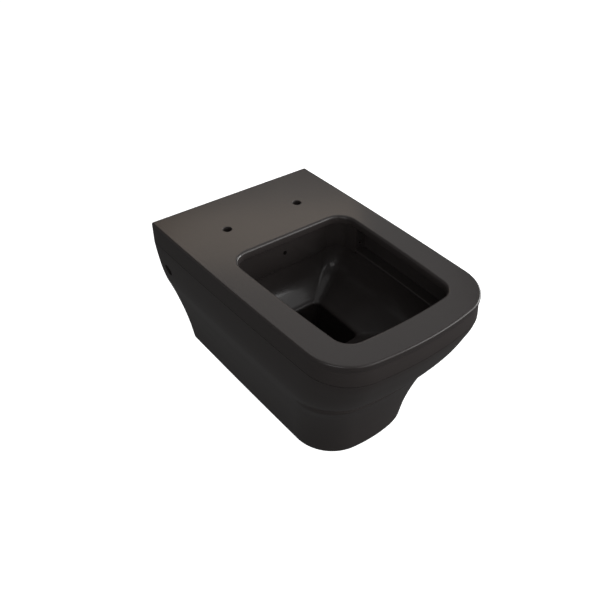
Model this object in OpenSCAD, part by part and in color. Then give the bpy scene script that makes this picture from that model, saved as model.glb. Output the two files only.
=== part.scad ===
// Wall hung toilet pan, rimless, with a squared skirted body and hidden side fixings.
// The wall is the plane y = 0, the front faces -Y, and the origin is midway between the two wall bolts.

/* [Body] */
// Width at the wall
body_w = 350; // [330:5:380]
// Distance from the wall to the middle of the front
body_l = 530; // [510:5:570]
// Height from the deck to the underside
body_h = 310; // [300:5:340]
// How far the underside stands in from the deck, each side
side_draw = 60; // [45:1:70]
// How far the underside stands back from the deck, at the front
front_draw = 97; // [80:1:110]
// How far the side draws in between the wall and the front, at the deck
side_bow = 11; // [4:1:16]
// The same at the underside
base_side_bow = 5; // [3:1:10]
// How far the front edge curves back towards its corners, at the deck
front_bow = 31; // [20:1:40]
// The same at the underside
base_front_bow = 23; // [15:1:30]
// Radius of the front corners in plan, which the skirt varies a little
corner_r = 72; // [50:1:80]
// Radius of the two upright edges at the wall
wall_edge_r = 4; // [2:0.5:8]
// Radius of the edge round the underside
base_edge_r = 8; // [3:1:10]
// Thickness of the skirt and the base
shell_t = 10; // [8:0.5:12]

/* [Deck and rim] */
// Depth of the rim piece, from the deck to the seam
rim_h = 40; // [36:1:50]
// Thickness of the deck
deck_t = 15; // [12:1:17]
// Thickness of the rim's outer wall
rim_t = 10; // [8:0.5:12]
// Radius of the deck's outer edge
deck_edge_r = 6; // [3:0.5:9]
// Height of the bull-nosed edge above its neck
nose_h = 14; // [12:0.5:20]
// Depth of the neck under the bull nose, at the front
neck_d = 1.5; // [0.5:0.25:3]
// Diameter of a seat hole
seat_hole_d = 16; // [12:0.5:20]
// Distance between the seat holes
seat_spacing = 155; // [140:1:180]
// Distance of the seat holes from the wall
seat_from_wall = 103; // [90:1:130]

/* [Opening] */
// Width of the rim beside the opening, at its back
rim_side_w = 47.5; // [46:0.5:55]
// Width of the rim in front of the opening
rim_front_w = 48; // [44:1:60]
// Distance from the wall to the back of the opening
opening_back = 178; // [175:1:190]
// How far the opening narrows towards the front, each side
opening_bow = 12; // [4:1:16]
// How far its front edge curves back towards the corners
opening_front_bow = 9; // [4:1:14]
// Radius of the front corners of the opening
opening_corner_r = 36; // [24:1:44]
// Radius of its back corners
opening_back_r = 38; // [26:1:46]
// Radius of the opening's upper edge
opening_edge_r = 5; // [2:0.5:7]

/* [Flush ways] */
// Depth below the deck of the joint between the bowl and the flush ways
bowl_joint_h = 67; // [64:1:72]
// Wall thickness of the flush ways
way_t = 8; // [6:0.5:9]
// Clear width of the channel over the ledge, beside the bowl
channel_w = 24; // [18:1:26]
// The same in front of the bowl
front_channel_w = 16; // [12:1:18]
// Thickness of the ledge
ledge_t = 5; // [4:0.5:8]
// Height of the ledge's raised nose above its floor
ledge_nose_h = 2; // [1:0.5:4]
// How far the ledge stands out beyond the opening's lip
ledge_proud = 1.3; // [0:0.1:3]
// Distance from the wall to the back of the flush box
box_back = 130; // [120:1:140]
// Distance from the wall to the front face of the flush box
box_face = 170; // [168:1:176]
// Distance from the wall to the faces with the side jets
box_arm = 225; // [215:1:240]
// Radius of the corners of the flush box's face
box_corner_r = 30; // [20:1:36]
// Width over which the drip edge hangs at its full depth
drip_w = 128; // [100:4:160]
// How far the drip edge hangs below the flush box
drip_h = 12; // [6:1:14]
// Diameter of the centre jet
centre_jet_d = 9; // [6:0.5:12]
// Diameter of a side jet
side_jet_d = 7; // [5:0.5:10]
// Depth of the jets below the deck
jet_h = 47; // [40:1:52]

/* [Bowl and trap] */
// Wall thickness of the bowl
bowl_t = 9; // [7:0.5:11]
// Height of the edge of the sump above the underside
sump_edge_up = 155; // [145:1:165]
// Width of the sump at its edge
sump_w = 90; // [80:1:110]
// Distance from the wall to the back of the sump
sump_back = 210; // [205:1:220]
// Length of the sump at its edge
sump_l = 133; // [110:1:140]
// Radius of the corners of the sump
sump_r = 14; // [8:1:20]
// Depth of the joint between the bowl and the well below the sump's edge
throat_l = 13; // [10:1:20]
// Thickness of the well's floor
well_floor_t = 11; // [8:1:16]
// Bore of the trapway
trap_d = 56; // [50:1:60]
// Wall thickness of the well, the trapway and the outlet
trap_t = 8; // [6:0.5:9]
// Radius of the first bend of the trapway, at its centre line
first_bend_r = 44; // [42:1:50]
// Straight length of the riser between its two bends
riser_l = 2; // [1:0.5:6]
// Drop from the trapway's crown to the outlet, centre to centre
outlet_drop = 23; // [20:1:30]

/* [Connections] */
// Depth of the wall bolts below the deck
bolt_h = 90; // [80:1:100]
// Distance between the wall bolts
bolt_spacing = 180; // [170:5:235]
// Depth of the flush inlet's centre below the deck
inlet_h = 55; // [54:1:60]
// Bore of the flush inlet
inlet_d = 55; // [50:1:60]
// Outside of the flush inlet
inlet_od = 75; // [70:1:78]
// Bore of the seal in the flush inlet, the flush pipe's outside
pipe_d = 45; // [40:1:46]
// Height of the waste outlet's centre above the underside
outlet_up = 120; // [110:1:130]
// Outside of the waste outlet
outlet_od = 102; // [90:1:110]
// How far the inlet and the outlet end before the wall
horn_gap = 6; // [3:1:12]
// Length of the waste outlet
outlet_l = 60; // [50:1:64]

/* [Side fixing] */
// Distance of the side fixing holes from the wall
fixing_from_wall = 33; // [30:1:45]
// Diameter of the side fixing holes
fixing_hole_d = 22; // [18:1:26]
// Outside of the thickened ceramic round the hole
fixing_boss_d = 38; // [34:1:44]
// Length of the thickened ceramic, inside the skirt
fixing_boss_l = 12; // [8:0.5:14]
// Thickness of the bracket
bracket_t = 4; // [3:0.5:5]
// Height of the bracket
bracket_h = 34; // [30:1:40]
// Diameter of the bracket's hole for the wall bolt
bolt_hole_d = 13; // [13:0.5:14]
// Diameter of the clamp screw's thread
screw_d = 8; // [6:1:10]
// Pitch of the clamp screw's thread
screw_pitch = 1.25; // [1:0.25:1.5]
// How far the bush and the screw back out to free the pan
clamp_travel = 6; // [3:0.5:6]

/* [Hidden] */

// Round cuts and shafts
$fn = 64;
// Overrun of every cut
over = 1;
// Gap between a moving piece and its neighbour
clear = 0.3;
// Gap round a thread
thread_gap = 0.05;

// Points of a plan outline: back corner, side, front corner and half of the front
fine_steps = [6, 8, 12, 5];
coarse_steps = [4, 5, 7, 4];

// Side profile of the skirt from the seam to the underside: depth share, side inset share,
// front inset share and corner radius share. The front folds back at the chin.
skirt_shares = [
    [0.00, 0.000, 0.000, 0.83],
    [0.045, 0.018, 0.035, 0.87],
    [0.11, 0.065, 0.103, 0.94],
    [0.22, 0.145, 0.222, 1.02],
    [0.315, 0.248, 0.385, 1.00],
    [0.365, 0.322, 0.550, 0.99],
    [0.39, 0.365, 0.640, 0.99],
    [0.402, 0.385, 0.655, 0.99],
    [0.416, 0.408, 0.636, 0.99],
    [0.44, 0.445, 0.618, 0.99],
    [0.47, 0.490, 0.650, 0.99],
    [0.52, 0.548, 0.720, 1.00],
    [0.67, 0.732, 0.846, 1.00],
    [0.815, 0.885, 0.952, 1.03],
    [0.92, 0.965, 0.988, 1.10],
    [1.00, 1.000, 1.000, 1.16]
];
// Depths at which the skirt's outside is drawn
skirt_ring_shares = [
    0, 0.045, 0.08, 0.11, 0.16, 0.22, 0.27, 0.315, 0.345, 0.368, 0.385, 0.395, 0.402, 0.41, 0.422, 0.44,
    0.455, 0.475, 0.52, 0.58, 0.64, 0.70, 0.76, 0.815, 0.87, 0.92
];
// Depths at which the inside of the skirt is drawn
cavity_ring_shares = [0.12, 0.24, 0.32, 0.36, 0.395, 0.44, 0.52, 0.66, 0.80, 0.90];
mouth_ring_shares = [0.14, 0.36, 0.50, 0.70];
boss_ring_shares = [0.12, 0.24];

// Inside of the bowl from its joint to the sump's edge: depth share, then how far the sides,
// the back and the front have drawn in towards the sump, and how far the corners have tightened.
bowl_shares = [
    [0.00, 0.000, 0.00, 0.00, 0.00],
    [0.16, 0.020, 0.02, 0.06, 0.05],
    [0.32, 0.065, 0.12, 0.15, 0.15],
    [0.47, 0.145, 0.28, 0.27, 0.28],
    [0.60, 0.260, 0.45, 0.40, 0.42],
    [0.71, 0.395, 0.60, 0.53, 0.56],
    [0.81, 0.555, 0.73, 0.67, 0.70],
    [0.89, 0.720, 0.84, 0.80, 0.82],
    [0.95, 0.860, 0.92, 0.90, 0.91],
    [1.00, 0.955, 0.975, 0.965, 0.98],
    [1.05, 0.990, 0.995, 0.992, 1.00],
    [1.148, 1.000, 1.00, 1.00, 1.00]
];
// Inside of the well from its joint to its floor: depth share, then the half width and the
// length as shares of those at the joint, and the corner radius likewise.
well_shares = [
    [0.00, 1.00, 1.00, 1.0],
    [0.45, 0.93, 0.93, 1.1],
    [0.75, 0.84, 0.81, 1.3],
    [0.92, 0.76, 0.70, 1.5],
    [1.00, 0.58, 0.54, 1.3]
];

deck_z = bolt_h;
skirt_h = body_h - rim_h;
way_top_h = deck_t;
ledge_h = bowl_joint_h - ledge_t;
nose_top_h = ledge_h - ledge_nose_h;
nose_w = 3;
nose_slope = 2;
// The bowl's inside starts this far outside the ledge's edge
bowl_undercut = 3;
// The bowl's inside starts this far behind the flush box's face
back_undercut = 6;
// The bowl's back corners are this much rounder than those of the face
bowl_corner_add = 8;
// Thickness of the drip edge, and its height where the face's corners start
drip_t = 4.5;
drip_end_h = 5.5;
opening_half = body_w / 2 - rim_side_w;
box_face_half = opening_half - opening_edge_r - ledge_proud;
box_half = box_face_half + channel_w + way_t;
box_wall_share = 0.875;
box_chamber_t = way_t * box_wall_share;
side_jet_x = box_face_half + channel_w / 2;
inlet_neck_d = 40;
inlet_neck_od = inlet_neck_d + 2 * way_t;
inlet_wide_l = 30;
inlet_taper_l = 16;
seal_l = 28;
seal_collar_t = 3;
seal_collar_w = 4.5;
// Flange that bears on the wall
flange_w = 20;
flange_d = 14;
sump_edge_h = body_h - sump_edge_up;
well_joint_h = sump_edge_h + throat_l;
well_floor_h = body_h - shell_t - well_floor_t;
well_wall = trap_t;
well_back = sump_back - well_wall;
trap_r = trap_d / 2;
trap_sill = 1;
trap_h = well_floor_h - trap_r - trap_sill;
trap_lead = 10;
outlet_h = body_h - outlet_up;
outlet_r = outlet_od / 2 - trap_t;
outlet_end = horn_gap + outlet_l;
crown_h = outlet_h - outlet_drop;
second_bend_r = trap_h - first_bend_r - riser_l - crown_h;
riser_y = well_back - trap_lead - first_bend_r;
riser_mid_h = trap_h - first_bend_r - riser_l / 2;
// Collar of the outlet, where the web joins it
collar_l = 13;
collar_w = 2;
web_t = 9;
web_lap = 2;
web_rise = 8;
web_top_h = outlet_h - outlet_od / 2 - web_rise;
web_front = outlet_end - web_lap;

// Side fixing, measured from the middle to the side
fixing_face_x = skirt(skirt_share(bolt_h))[0];
fixing_boss_x = fixing_face_x - shell_t - fixing_boss_l;
boss_floor_h = bolt_h + fixing_boss_d;
ear_x = fixing_boss_x - bracket_t;
bush_in = ear_x + clear;
bush_recess = 1.7;
bush_l = fixing_face_x - clamp_travel - bush_recess - bush_in;
bush_nose_l = 6;
bush_nose_d = 14;
bush_d = fixing_hole_d - 2 * clear;
head_share = 1.625;
head_d = screw_d * head_share;
head_seat = bush_in + bush_l - screw_d;
screw_l = 35;
thread_depth_share = 0.61;
hole_play = 1;
nut_af_share = 1.625;
nut_t_share = 0.8125;
nut_af = screw_d * nut_af_share;
nut_t = screw_d * nut_t_share;
wall_nut_d = 12;
wall_nut_af = 18;
wall_nut_t = 10.8;
washer_d = 24;
washer_t = 2.5;
// The bracket starts this far inside its wall bolt
bracket_edge = 18;
bracket_in = bolt_spacing / 2 - bracket_edge;
ear_out = fixing_from_wall + bracket_h / 2;

function mix(a, b, t) = a + (b - a) * t;
function z_at(h) = deck_z - h;

// Smooth curve through a table of shares: the value in one column at share t
function span_of(table, t, i = 0) =
    i >= len(table) - 2 || t <= table[i + 1][0] ? i : span_of(table, t, i + 1);
function slope_at(table, col, i) =
    let (a = max(i - 1, 0), b = min(i + 1, len(table) - 1))
    (table[b][col] - table[a][col]) / (table[b][0] - table[a][0]);
function curve(table, col, t) =
    let (
        i = span_of(table, t),
        w = table[i + 1][0] - table[i][0],
        u = min(max((t - table[i][0]) / w, 0), 1),
        p = table[i][col],
        q = table[i + 1][col],
        m = slope_at(table, col, i) * w,
        n = slope_at(table, col, i + 1) * w
    )
    p * (2 * u^3 - 3 * u^2 + 1) + m * (u^3 - 2 * u^2 + u) + q * (3 * u^2 - 2 * u^3) + n * (u^3 - u^2);

// A plan outline is a list: half width at its back, distance of its back from the wall, distance of
// its front from the wall, side bow, front bow, front corner radius and back corner radius.
// It is drawn with true arcs, each tangent to the next.
function inset(s, d) = [s[0] - d, s[1] + d, s[2] - d, s[3], s[4], s[5] - d, s[6] - d];
function with_back(s, back, r) = [s[0], back, s[2], s[3], s[4], s[5], r];
function arc(c, r, a, b, n) = [for (i = [1:n]) c + r * [cos(mix(a, b, i / n)), sin(mix(a, b, i / n))]];
function angle_of(v) = atan2(v.y, v.x);
function half_outline(s, n) =
    let (
        side_r = (s[2] - s[1])^2 / (2 * s[3]),
        front_r = (s[0]^2 + s[4]^2) / (2 * s[4]),
        cs = [s[0] - side_r, -s[1]],
        cf = [0, front_r - s[2]],
        gap = norm(cf - cs),
        e = (cf - cs) / gap,
        ra = side_r - s[5],
        rb = front_r - s[5],
        along = (ra^2 - rb^2 + gap^2) / (2 * gap),
        k = cs + along * e + sqrt(ra^2 - along^2) * [e.y, -e.x],
        b = [cs.x + sqrt((side_r - s[6])^2 - s[6]^2), -s[1] - s[6]]
    )
    concat(
        [[b.x, -s[1]]],
        arc(b, s[6], 90, angle_of(b - cs), n[0]),
        arc(cs, side_r, angle_of(b - cs), angle_of(k - cs), n[1]),
        arc(k, s[5], angle_of(k - cs), angle_of(k - cf), n[2]),
        arc(cf, front_r, angle_of(k - cf), -90, n[3])
    );
function ring(s, h, n = fine_steps) =
    let (half = half_outline(s, n), m = len(half))
    concat(
        [for (p = half) [p.x, p.y, z_at(h)]],
        [for (i = [m - 2:-1:0]) [-half[i].x, half[i].y, z_at(h)]]
    );

// Skin over rings of equal point count, from the top down on an outside.
// A looped skin joins its last ring to its first, and any other skin is capped at both ends.
module skin(rings, looped = false) {
    n = len(rings[0]);
    m = len(rings);
    last = looped ? m - 1 : m - 2;
    sides = [
        for (k = [0:last], i = [0:n - 1])
            let (j = (i + 1) % n, a = k * n, b = ((k + 1) % m) * n)
            each [[a + i, b + i, b + j], [a + i, b + j, a + j]]
    ];
    caps = looped ? [] : [[for (i = [0:n - 1]) i], [for (i = [n - 1:-1:0]) (m - 1) * n + i]];
    polyhedron(points = [for (r = rings) each r], faces = concat(sides, caps), convexity = 8);
}

// Quarter round between two rings: steps of [share of the inset, share of the drop]
function round_steps(n) = [for (i = [0:n]) [1 - sin(90 * i / n), 1 - cos(90 * i / n)]];

// Outline of the body at a share of the skirt's depth
function skirt(t) = [
    body_w / 2 - side_draw * curve(skirt_shares, 1, t),
    0,
    body_l - front_draw * curve(skirt_shares, 2, t),
    mix(side_bow, base_side_bow, t),
    mix(front_bow, base_front_bow, t),
    corner_r * curve(skirt_shares, 3, t),
    wall_edge_r
];
function skirt_share(h) = (h - rim_h) / skirt_h;
function opening(d) = inset([
    opening_half, opening_back, body_l - rim_front_w, opening_bow, opening_front_bow, opening_corner_r,
    opening_back_r
], d);
function ledge_edge(d) = opening(opening_edge_r + ledge_proud - d);
// The same for the channel, which is narrower in front of the bowl
function way_edge(d) =
    let (e = ledge_edge(d), tuck = (channel_w - front_channel_w) * min(d / channel_w, 1))
    [e[0], e[1], e[2] - tuck, e[3], e[4], e[5], e[6]];

// Pieces lying along an axis
module rod(l, d, d_end) {
    cylinder(d1 = d, d2 = is_undef(d_end) ? d : d_end, h = l);
}
module rod_y(from, to, d, d_end = undef) {
    translate([0, -from, 0]) rotate([90, 0, 0]) rod(to - from, d, d_end);
}
module rod_x(from, to, d, d_end = undef) {
    translate([from, 0, 0]) rotate([0, 90, 0]) rod(to - from, d, d_end);
}
module hex_x(from, to, af) {
    translate([from, 0, 0]) rotate([0, 90, 0]) cylinder(d = af / cos(30), h = to - from, $fn = 6);
}
module left() {
    mirror([1, 0, 0]) children();
}

ceramic = [0.17, 0.16, 0.155];
zinc = [0.72, 0.73, 0.74];
steel = [0.55, 0.56, 0.58];
nylon = [0.05, 0.05, 0.05];
rubber = [0.10, 0.10, 0.10];

// Rim casting: deck, bull nose, outer wall and the lip of the opening
module rim_deck() {
    top = skirt(0);
    neck = [top[0], 0, top[2] - neck_d, top[3], top[4], top[5], top[6]];
    half_neck = [top[0], 0, top[2] - neck_d / 3, top[3], top[4], top[5], top[6]];
    edge = round_steps(4);
    lip = round_steps(4);
    rings = concat(
        [for (s = edge) ring(inset(top, deck_edge_r * s[0]), deck_edge_r * s[1])],
        [
            ring(top, nose_h),
            ring(neck, nose_h + 2 * neck_d),
            ring(half_neck, mix(nose_h, rim_h, 0.55)),
            ring(top, rim_h),
            ring(inset(top, rim_t), rim_h),
            ring(inset(top, rim_t), deck_t),
            ring(opening(opening_edge_r), deck_t)
        ],
        [for (i = [4:-1:0]) ring(opening(opening_edge_r * (1 - lip[i][0])), opening_edge_r * lip[i][1])]
    );
    color(ceramic)
    difference() {
        skin(rings, looped = true);
        for (x = [-1, 1] * seat_spacing / 2) {
            translate([x, -seat_from_wall, z_at(deck_t + over)])
                cylinder(d = seat_hole_d, h = deck_t + 2 * over);
        }
        translate([0, 0, z_at(inlet_h)]) rod_y(-over, rim_t + over, inlet_od);
    }
}

// Space inside the shell, which the wall, the web and the bosses follow
function cavity_ring(s, t, h) = ring(with_back(inset(skirt(s), t), -2 * over, over), h, coarse_steps);
module cavity(t, floor_h, shares = cavity_ring_shares) {
    skin(concat(
        [cavity_ring(0, t, rim_h - over)],
        [for (s = shares) cavity_ring(s, t, rim_h + skirt_h * s)],
        [cavity_ring(skirt_share(floor_h), t, floor_h)]
    ));
}

// Skirt and base, open at the wall, with a flat flange that bears on the wall
module outer_shell() {
    foot = skirt(1);
    edge = round_steps(4);
    floor_h = body_h - shell_t;
    mouth_floor_h = body_h - flange_w;
    reach = body_w + body_l;
    rings = concat(
        [for (s = skirt_ring_shares) ring(skirt(s), rim_h + skirt_h * s)],
        [for (i = [4:-1:0]) ring(inset(foot, base_edge_r * edge[i][0]), body_h - base_edge_r * edge[i][1])]
    );
    color(ceramic)
    difference() {
        skin(rings);
        intersection() {
            cavity(shell_t, floor_h);
            translate([-reach / 2, -reach - flange_d, -reach / 2]) cube(reach);
        }
        intersection() {
            cavity(flange_w, mouth_floor_h, mouth_ring_shares);
            translate([-reach / 2, -flange_d - over, -reach / 2]) cube([reach, reach, reach]);
        }
        translate([0, -fixing_from_wall, 0]) rod_x(-body_w / 2, body_w / 2, fixing_hole_d);
    }
}

// Plan of the flush box: a bar behind the opening with an arm along each side
module box_plan(d) {
    face = box_face_half + d;
    r = box_corner_r + d;
    corner_y = box_face + box_corner_r;
    start = box_arm + over;
    difference() {
        translate([-box_half + d, -box_arm + d]) square([2 * (box_half - d), box_arm - box_back - 2 * d]);
        translate([-face, -start]) square([2 * face, start - corner_y]);
        translate([-face + r, -start]) square([2 * (face - r), start - box_face + d]);
        for (x = [-1, 1] * (face - r)) {
            translate([x, -corner_y]) circle(r = r);
        }
    }
}

// Flush distributor with its centre jet, two side jets and drip edge
module flush_box() {
    end_x = box_face_half - box_corner_r;
    color(ceramic)
    difference() {
        union() {
            translate([0, 0, z_at(bowl_joint_h)]) linear_extrude(bowl_joint_h - way_top_h) box_plan(0);
            translate([0, drip_t - box_face, z_at(bowl_joint_h)])
                rotate([90, 0, 0]) linear_extrude(drip_t) polygon([
                    [end_x, 0], [end_x, -drip_end_h], [drip_w / 2, -drip_h], [-drip_w / 2, -drip_h],
                    [-end_x, -drip_end_h], [-end_x, 0]
                ]);
        }
        translate([0, 0, z_at(bowl_joint_h - box_chamber_t)])
            linear_extrude(bowl_joint_h - way_top_h - 2 * box_chamber_t) box_plan(box_chamber_t);
        translate([0, 0, z_at(jet_h)]) rod_y(box_face - box_chamber_t - over, box_face + over, centre_jet_d);
        for (x = [-1, 1] * side_jet_x) {
            translate([x, 0, z_at(jet_h)]) rod_y(box_arm - box_chamber_t - over, box_arm + over, side_jet_d);
        }
        translate([0, 0, z_at(inlet_h - (inlet_d - inlet_neck_d) / 2)])
            rod_y(box_back - over, box_back + box_chamber_t + over, inlet_neck_d - 2 * box_chamber_t);
    }
}

// Channel and ledge that lead the side jets round the bowl
module water_guide() {
    outer = channel_w + way_t;
    profile = [
        [outer, way_top_h], [outer, bowl_joint_h], [0, bowl_joint_h], [0, nose_top_h],
        [nose_w, nose_top_h], [nose_w + nose_slope, ledge_h], [channel_w - nose_slope, ledge_h],
        [channel_w, ledge_h - nose_slope], [channel_w, way_top_h]
    ];
    reach = body_w + body_l;
    color(ceramic)
    difference() {
        skin([for (p = profile) ring(way_edge(p[0]), p[1])], looped = true);
        translate([-reach / 2, -box_arm, -reach / 2]) cube(reach);
    }
}

// Inside outline of the bowl at a row of its table
function bowl_top() =
    let (e = ledge_edge(bowl_undercut))
    [e[0], box_face - back_undercut, e[2], e[3], e[4], e[5], box_corner_r + bowl_corner_add];
function sump(d) = [
    sump_w / 2 + d, sump_back - d, sump_back + sump_l + d, base_side_bow / 2, base_side_bow / 2, sump_r + d,
    sump_r + d
];
function bowl_inside(i, d) =
    let (a = bowl_top(), b = sump(0), s = bowl_shares[i])
    inset([
        mix(a[0], b[0], s[1]), mix(a[1], b[1], s[2]), mix(a[2], b[2], s[3]), mix(a[3], b[3], s[4]),
        mix(a[4], b[4], s[4]), mix(a[5], b[5], s[4]), mix(a[6], b[6], s[4])
    ], -d);
function bowl_depth(i) = min(mix(bowl_joint_h, sump_edge_h, bowl_shares[i][0]), well_joint_h);

// Basin from the ledge down to the throat of the sump
module bowl() {
    last = len(bowl_shares) - 1;
    outside = [
        for (i = [0:2:last - 3])
            ring(bowl_inside(i, bowl_t), bowl_depth(i) + bowl_t * bowl_shares[i][1])
    ];
    throat = [ring(sump(well_wall), well_joint_h - 2 * over), ring(sump(well_wall), well_joint_h)];
    inside = [for (i = [last:-1:0]) ring(bowl_inside(i, 0), bowl_depth(i))];
    color(ceramic) skin(concat(outside, throat, inside), looped = true);
}

// Well under the bowl that holds the water seal, with the way into the trapway at its back
function well_outline(i, d) =
    let (s = well_shares[i], a = sump(0), l = sump_l * s[2])
    [a[0] * s[1] + d, sump_back - d, sump_back + l + d, a[3], a[4], sump_r * s[3] + d, sump_r * s[3] + d];
module sump_well() {
    last = len(well_shares) - 1;
    depth = well_floor_h - well_joint_h;
    inside = [
        for (i = [last:-1:0])
            ring(well_outline(i, 0), well_joint_h + depth * well_shares[i][0], coarse_steps)
    ];
    outside = [
        for (i = [0:last - 1])
            ring(well_outline(i, well_wall), well_joint_h + depth * well_shares[i][0], coarse_steps)
    ];
    foot = [ring(well_outline(last, well_wall), body_h - shell_t, coarse_steps)];
    color(ceramic)
    difference() {
        skin(concat(inside, outside, foot));
        translate([0, 0, z_at(trap_h)]) rod_y(well_back - over, well_back + 2 * well_wall, trap_d);
    }
}

// Centre line of the trapway as rows: distance from the wall, depth, direction of travel and bore
// radius. The upleg leaves the well level and turns upwards.
function upleg_rows() = concat(
    [[well_back, trap_h, 0, trap_r]],
    [
        for (a = [0:15:90])
            [riser_y + first_bend_r * (1 - sin(a)), trap_h - first_bend_r * (1 - cos(a)), a, trap_r]
    ],
    [[riser_y, riser_mid_h, 90, trap_r]]
);
// The weir turns level over its crown, then drops and widens to the outlet
function weir_rows() =
    let (crown_y = riser_y - second_bend_r, l = crown_y - outlet_end)
    concat(
        [[riser_y, riser_mid_h, 90, trap_r]],
        [
            for (a = [90:-15:0])
                [crown_y + second_bend_r * sin(a), crown_h + second_bend_r * (1 - cos(a)), a, trap_r]
        ],
        [
            for (t = [0.33, 0.67, 1])
                let (u = t * t * (3 - 2 * t), steep = 6 * t * (1 - t) * outlet_drop / l)
                [crown_y - l * t, crown_h + outlet_drop * u, -atan(steep), mix(trap_r, outlet_r, u)]
        ]
    );
function trap_ring(s, t, n = 22) = [
    for (i = [0:n - 1])
        let (a = 360 * i / n, r = s[3] + t)
        [r * cos(a), -s[0] + r * sin(a) * sin(s[2]), z_at(s[1]) - r * sin(a) * cos(s[2])]
];
module trap_pipe(rows) {
    last = len(rows) - 1;
    color(ceramic)
    skin(concat(
        [for (s = rows) trap_ring(s, trap_t)],
        [for (i = [last:-1:0]) trap_ring(rows[i], 0)]
    ), looped = true);
}

// Rising leg of the trapway, from the well to the foot of the weir
module trap_upleg() {
    trap_pipe(upleg_rows());
}

// Weir of the trapway, which holds the water seal back, and its fall to the outlet
module trap_weir() {
    trap_pipe(weir_rows());
}

// Waste outlet
module outlet_spigot() {
    chamfer = trap_t / 4;
    color(ceramic)
    translate([0, 0, z_at(outlet_h)])
    difference() {
        union() {
            rod_y(horn_gap + chamfer, outlet_end - collar_l, outlet_od);
            rod_y(outlet_end - collar_l, outlet_end, outlet_od + 2 * collar_w);
            rod_y(horn_gap, horn_gap + chamfer, outlet_od - 2 * chamfer, outlet_od);
        }
        rod_y(horn_gap - over, outlet_end + over, 2 * outlet_r);
    }
}

// Flush inlet, narrowing to the flush box
module inlet_horn() {
    taper_end = horn_gap + inlet_wide_l + inlet_taper_l;
    color(ceramic)
    translate([0, 0, z_at(inlet_h)])
    difference() {
        union() {
            rod_y(horn_gap, horn_gap + inlet_wide_l, inlet_od);
            rod_y(horn_gap + inlet_wide_l, taper_end, inlet_od, inlet_neck_od);
            rod_y(taper_end, box_back, inlet_neck_od);
        }
        rod_y(horn_gap - over, horn_gap + inlet_wide_l, inlet_d);
        rod_y(horn_gap + inlet_wide_l, taper_end, inlet_d, inlet_neck_d);
        rod_y(taper_end, box_back + over, inlet_neck_d);
        // A low body brings the outlet up to the inlet, which then gives way
        translate([0, 0, inlet_h - outlet_h])
            rod_y(horn_gap - over, outlet_end, outlet_od + 2 * clear);
    }
}

// Web that ties the outlet to both sides of the shell
module rear_web() {
    color(ceramic)
    difference() {
        intersection() {
            translate([-body_w / 2, -web_front, z_at(body_h)]) cube([body_w, web_t, body_h - web_top_h]);
            cavity(shell_t, body_h - shell_t);
        }
        translate([0, 0, z_at(outlet_h)])
            rod_y(web_front - web_t - over, web_front + over, outlet_od + 2 * collar_w);
        translate([0, 0, z_at(inlet_h)])
            rod_y(web_front - web_t - over, web_front + over, inlet_neck_od + 2 * clear);
    }
}

// Thickened ceramic round a side fixing hole, inside the shell
module fixing_boss() {
    color(ceramic)
    difference() {
        intersection() {
            translate([0, -fixing_from_wall, 0]) rod_x(fixing_boss_x, body_w / 2, fixing_boss_d);
            cavity(shell_t, boss_floor_h, boss_ring_shares);
        }
        translate([0, -fixing_from_wall, 0]) rod_x(fixing_boss_x - over, body_w / 2 + over, fixing_hole_d);
    }
}
module right_fixing_boss() {
    fixing_boss();
}
module left_fixing_boss() {
    left() fixing_boss();
}

// Steel angle on the wall bolt, with an ear behind the side hole
module wall_bracket() {
    bend_r = 2 * bracket_t;
    color(zinc)
    difference() {
        translate([0, 0, -bracket_h / 2]) linear_extrude(bracket_h) {
            translate([bracket_in, -bracket_t]) square([ear_x - bend_r - bracket_in, bracket_t]);
            translate([ear_x - bracket_t, -ear_out]) square([bracket_t, ear_out - bend_r]);
            intersection() {
                translate([ear_x - bend_r, -bend_r]) difference() {
                    circle(r = bend_r);
                    circle(r = bend_r - bracket_t);
                }
                translate([ear_x - bend_r, -bend_r]) square(bend_r);
            }
        }
        translate([bolt_spacing / 2, 0, 0]) rod_y(-over, bracket_t + over, bolt_hole_d);
        translate([0, -fixing_from_wall, 0])
            rod_x(ear_x - bracket_t - over, ear_x + over, screw_d + hole_play);
    }
}
module right_wall_bracket() {
    wall_bracket();
}
module left_wall_bracket() {
    left() wall_bracket();
}

// Washers and nuts on the two wall bolts
module bracket_washers() {
    color(zinc)
    for (x = [-1, 1] * bolt_spacing / 2) {
        translate([x, 0, 0]) difference() {
            rod_y(bracket_t, bracket_t + washer_t, washer_d);
            rod_y(bracket_t - over, bracket_t + washer_t + over, bolt_hole_d);
        }
    }
}
module bracket_nuts() {
    from = bracket_t + washer_t;
    corner_d = wall_nut_af / cos(30);
    color(zinc)
    for (x = [-1, 1] * bolt_spacing / 2) {
        translate([x, -from, 0]) rotate([90, 0, 0]) difference() {
            intersection() {
                cylinder(d = corner_d, h = wall_nut_t, $fn = 6);
                cylinder(d1 = wall_nut_af + 2 * wall_nut_t, d2 = wall_nut_af, h = wall_nut_t);
            }
            translate([0, 0, -over]) cylinder(d = wall_nut_d, h = wall_nut_t + 2 * over);
        }
    }
}

// Nuts welded behind the bracket ears
module captive_nuts() {
    ear_in = ear_x - bracket_t;
    color(zinc)
    for (side = [0, 1]) {
        mirror([side, 0, 0]) translate([0, -fixing_from_wall, 0]) difference() {
            hex_x(ear_in - nut_t, ear_in, nut_af);
            rod_x(ear_in - nut_t - over, ear_in + over, screw_d);
        }
    }
}

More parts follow.
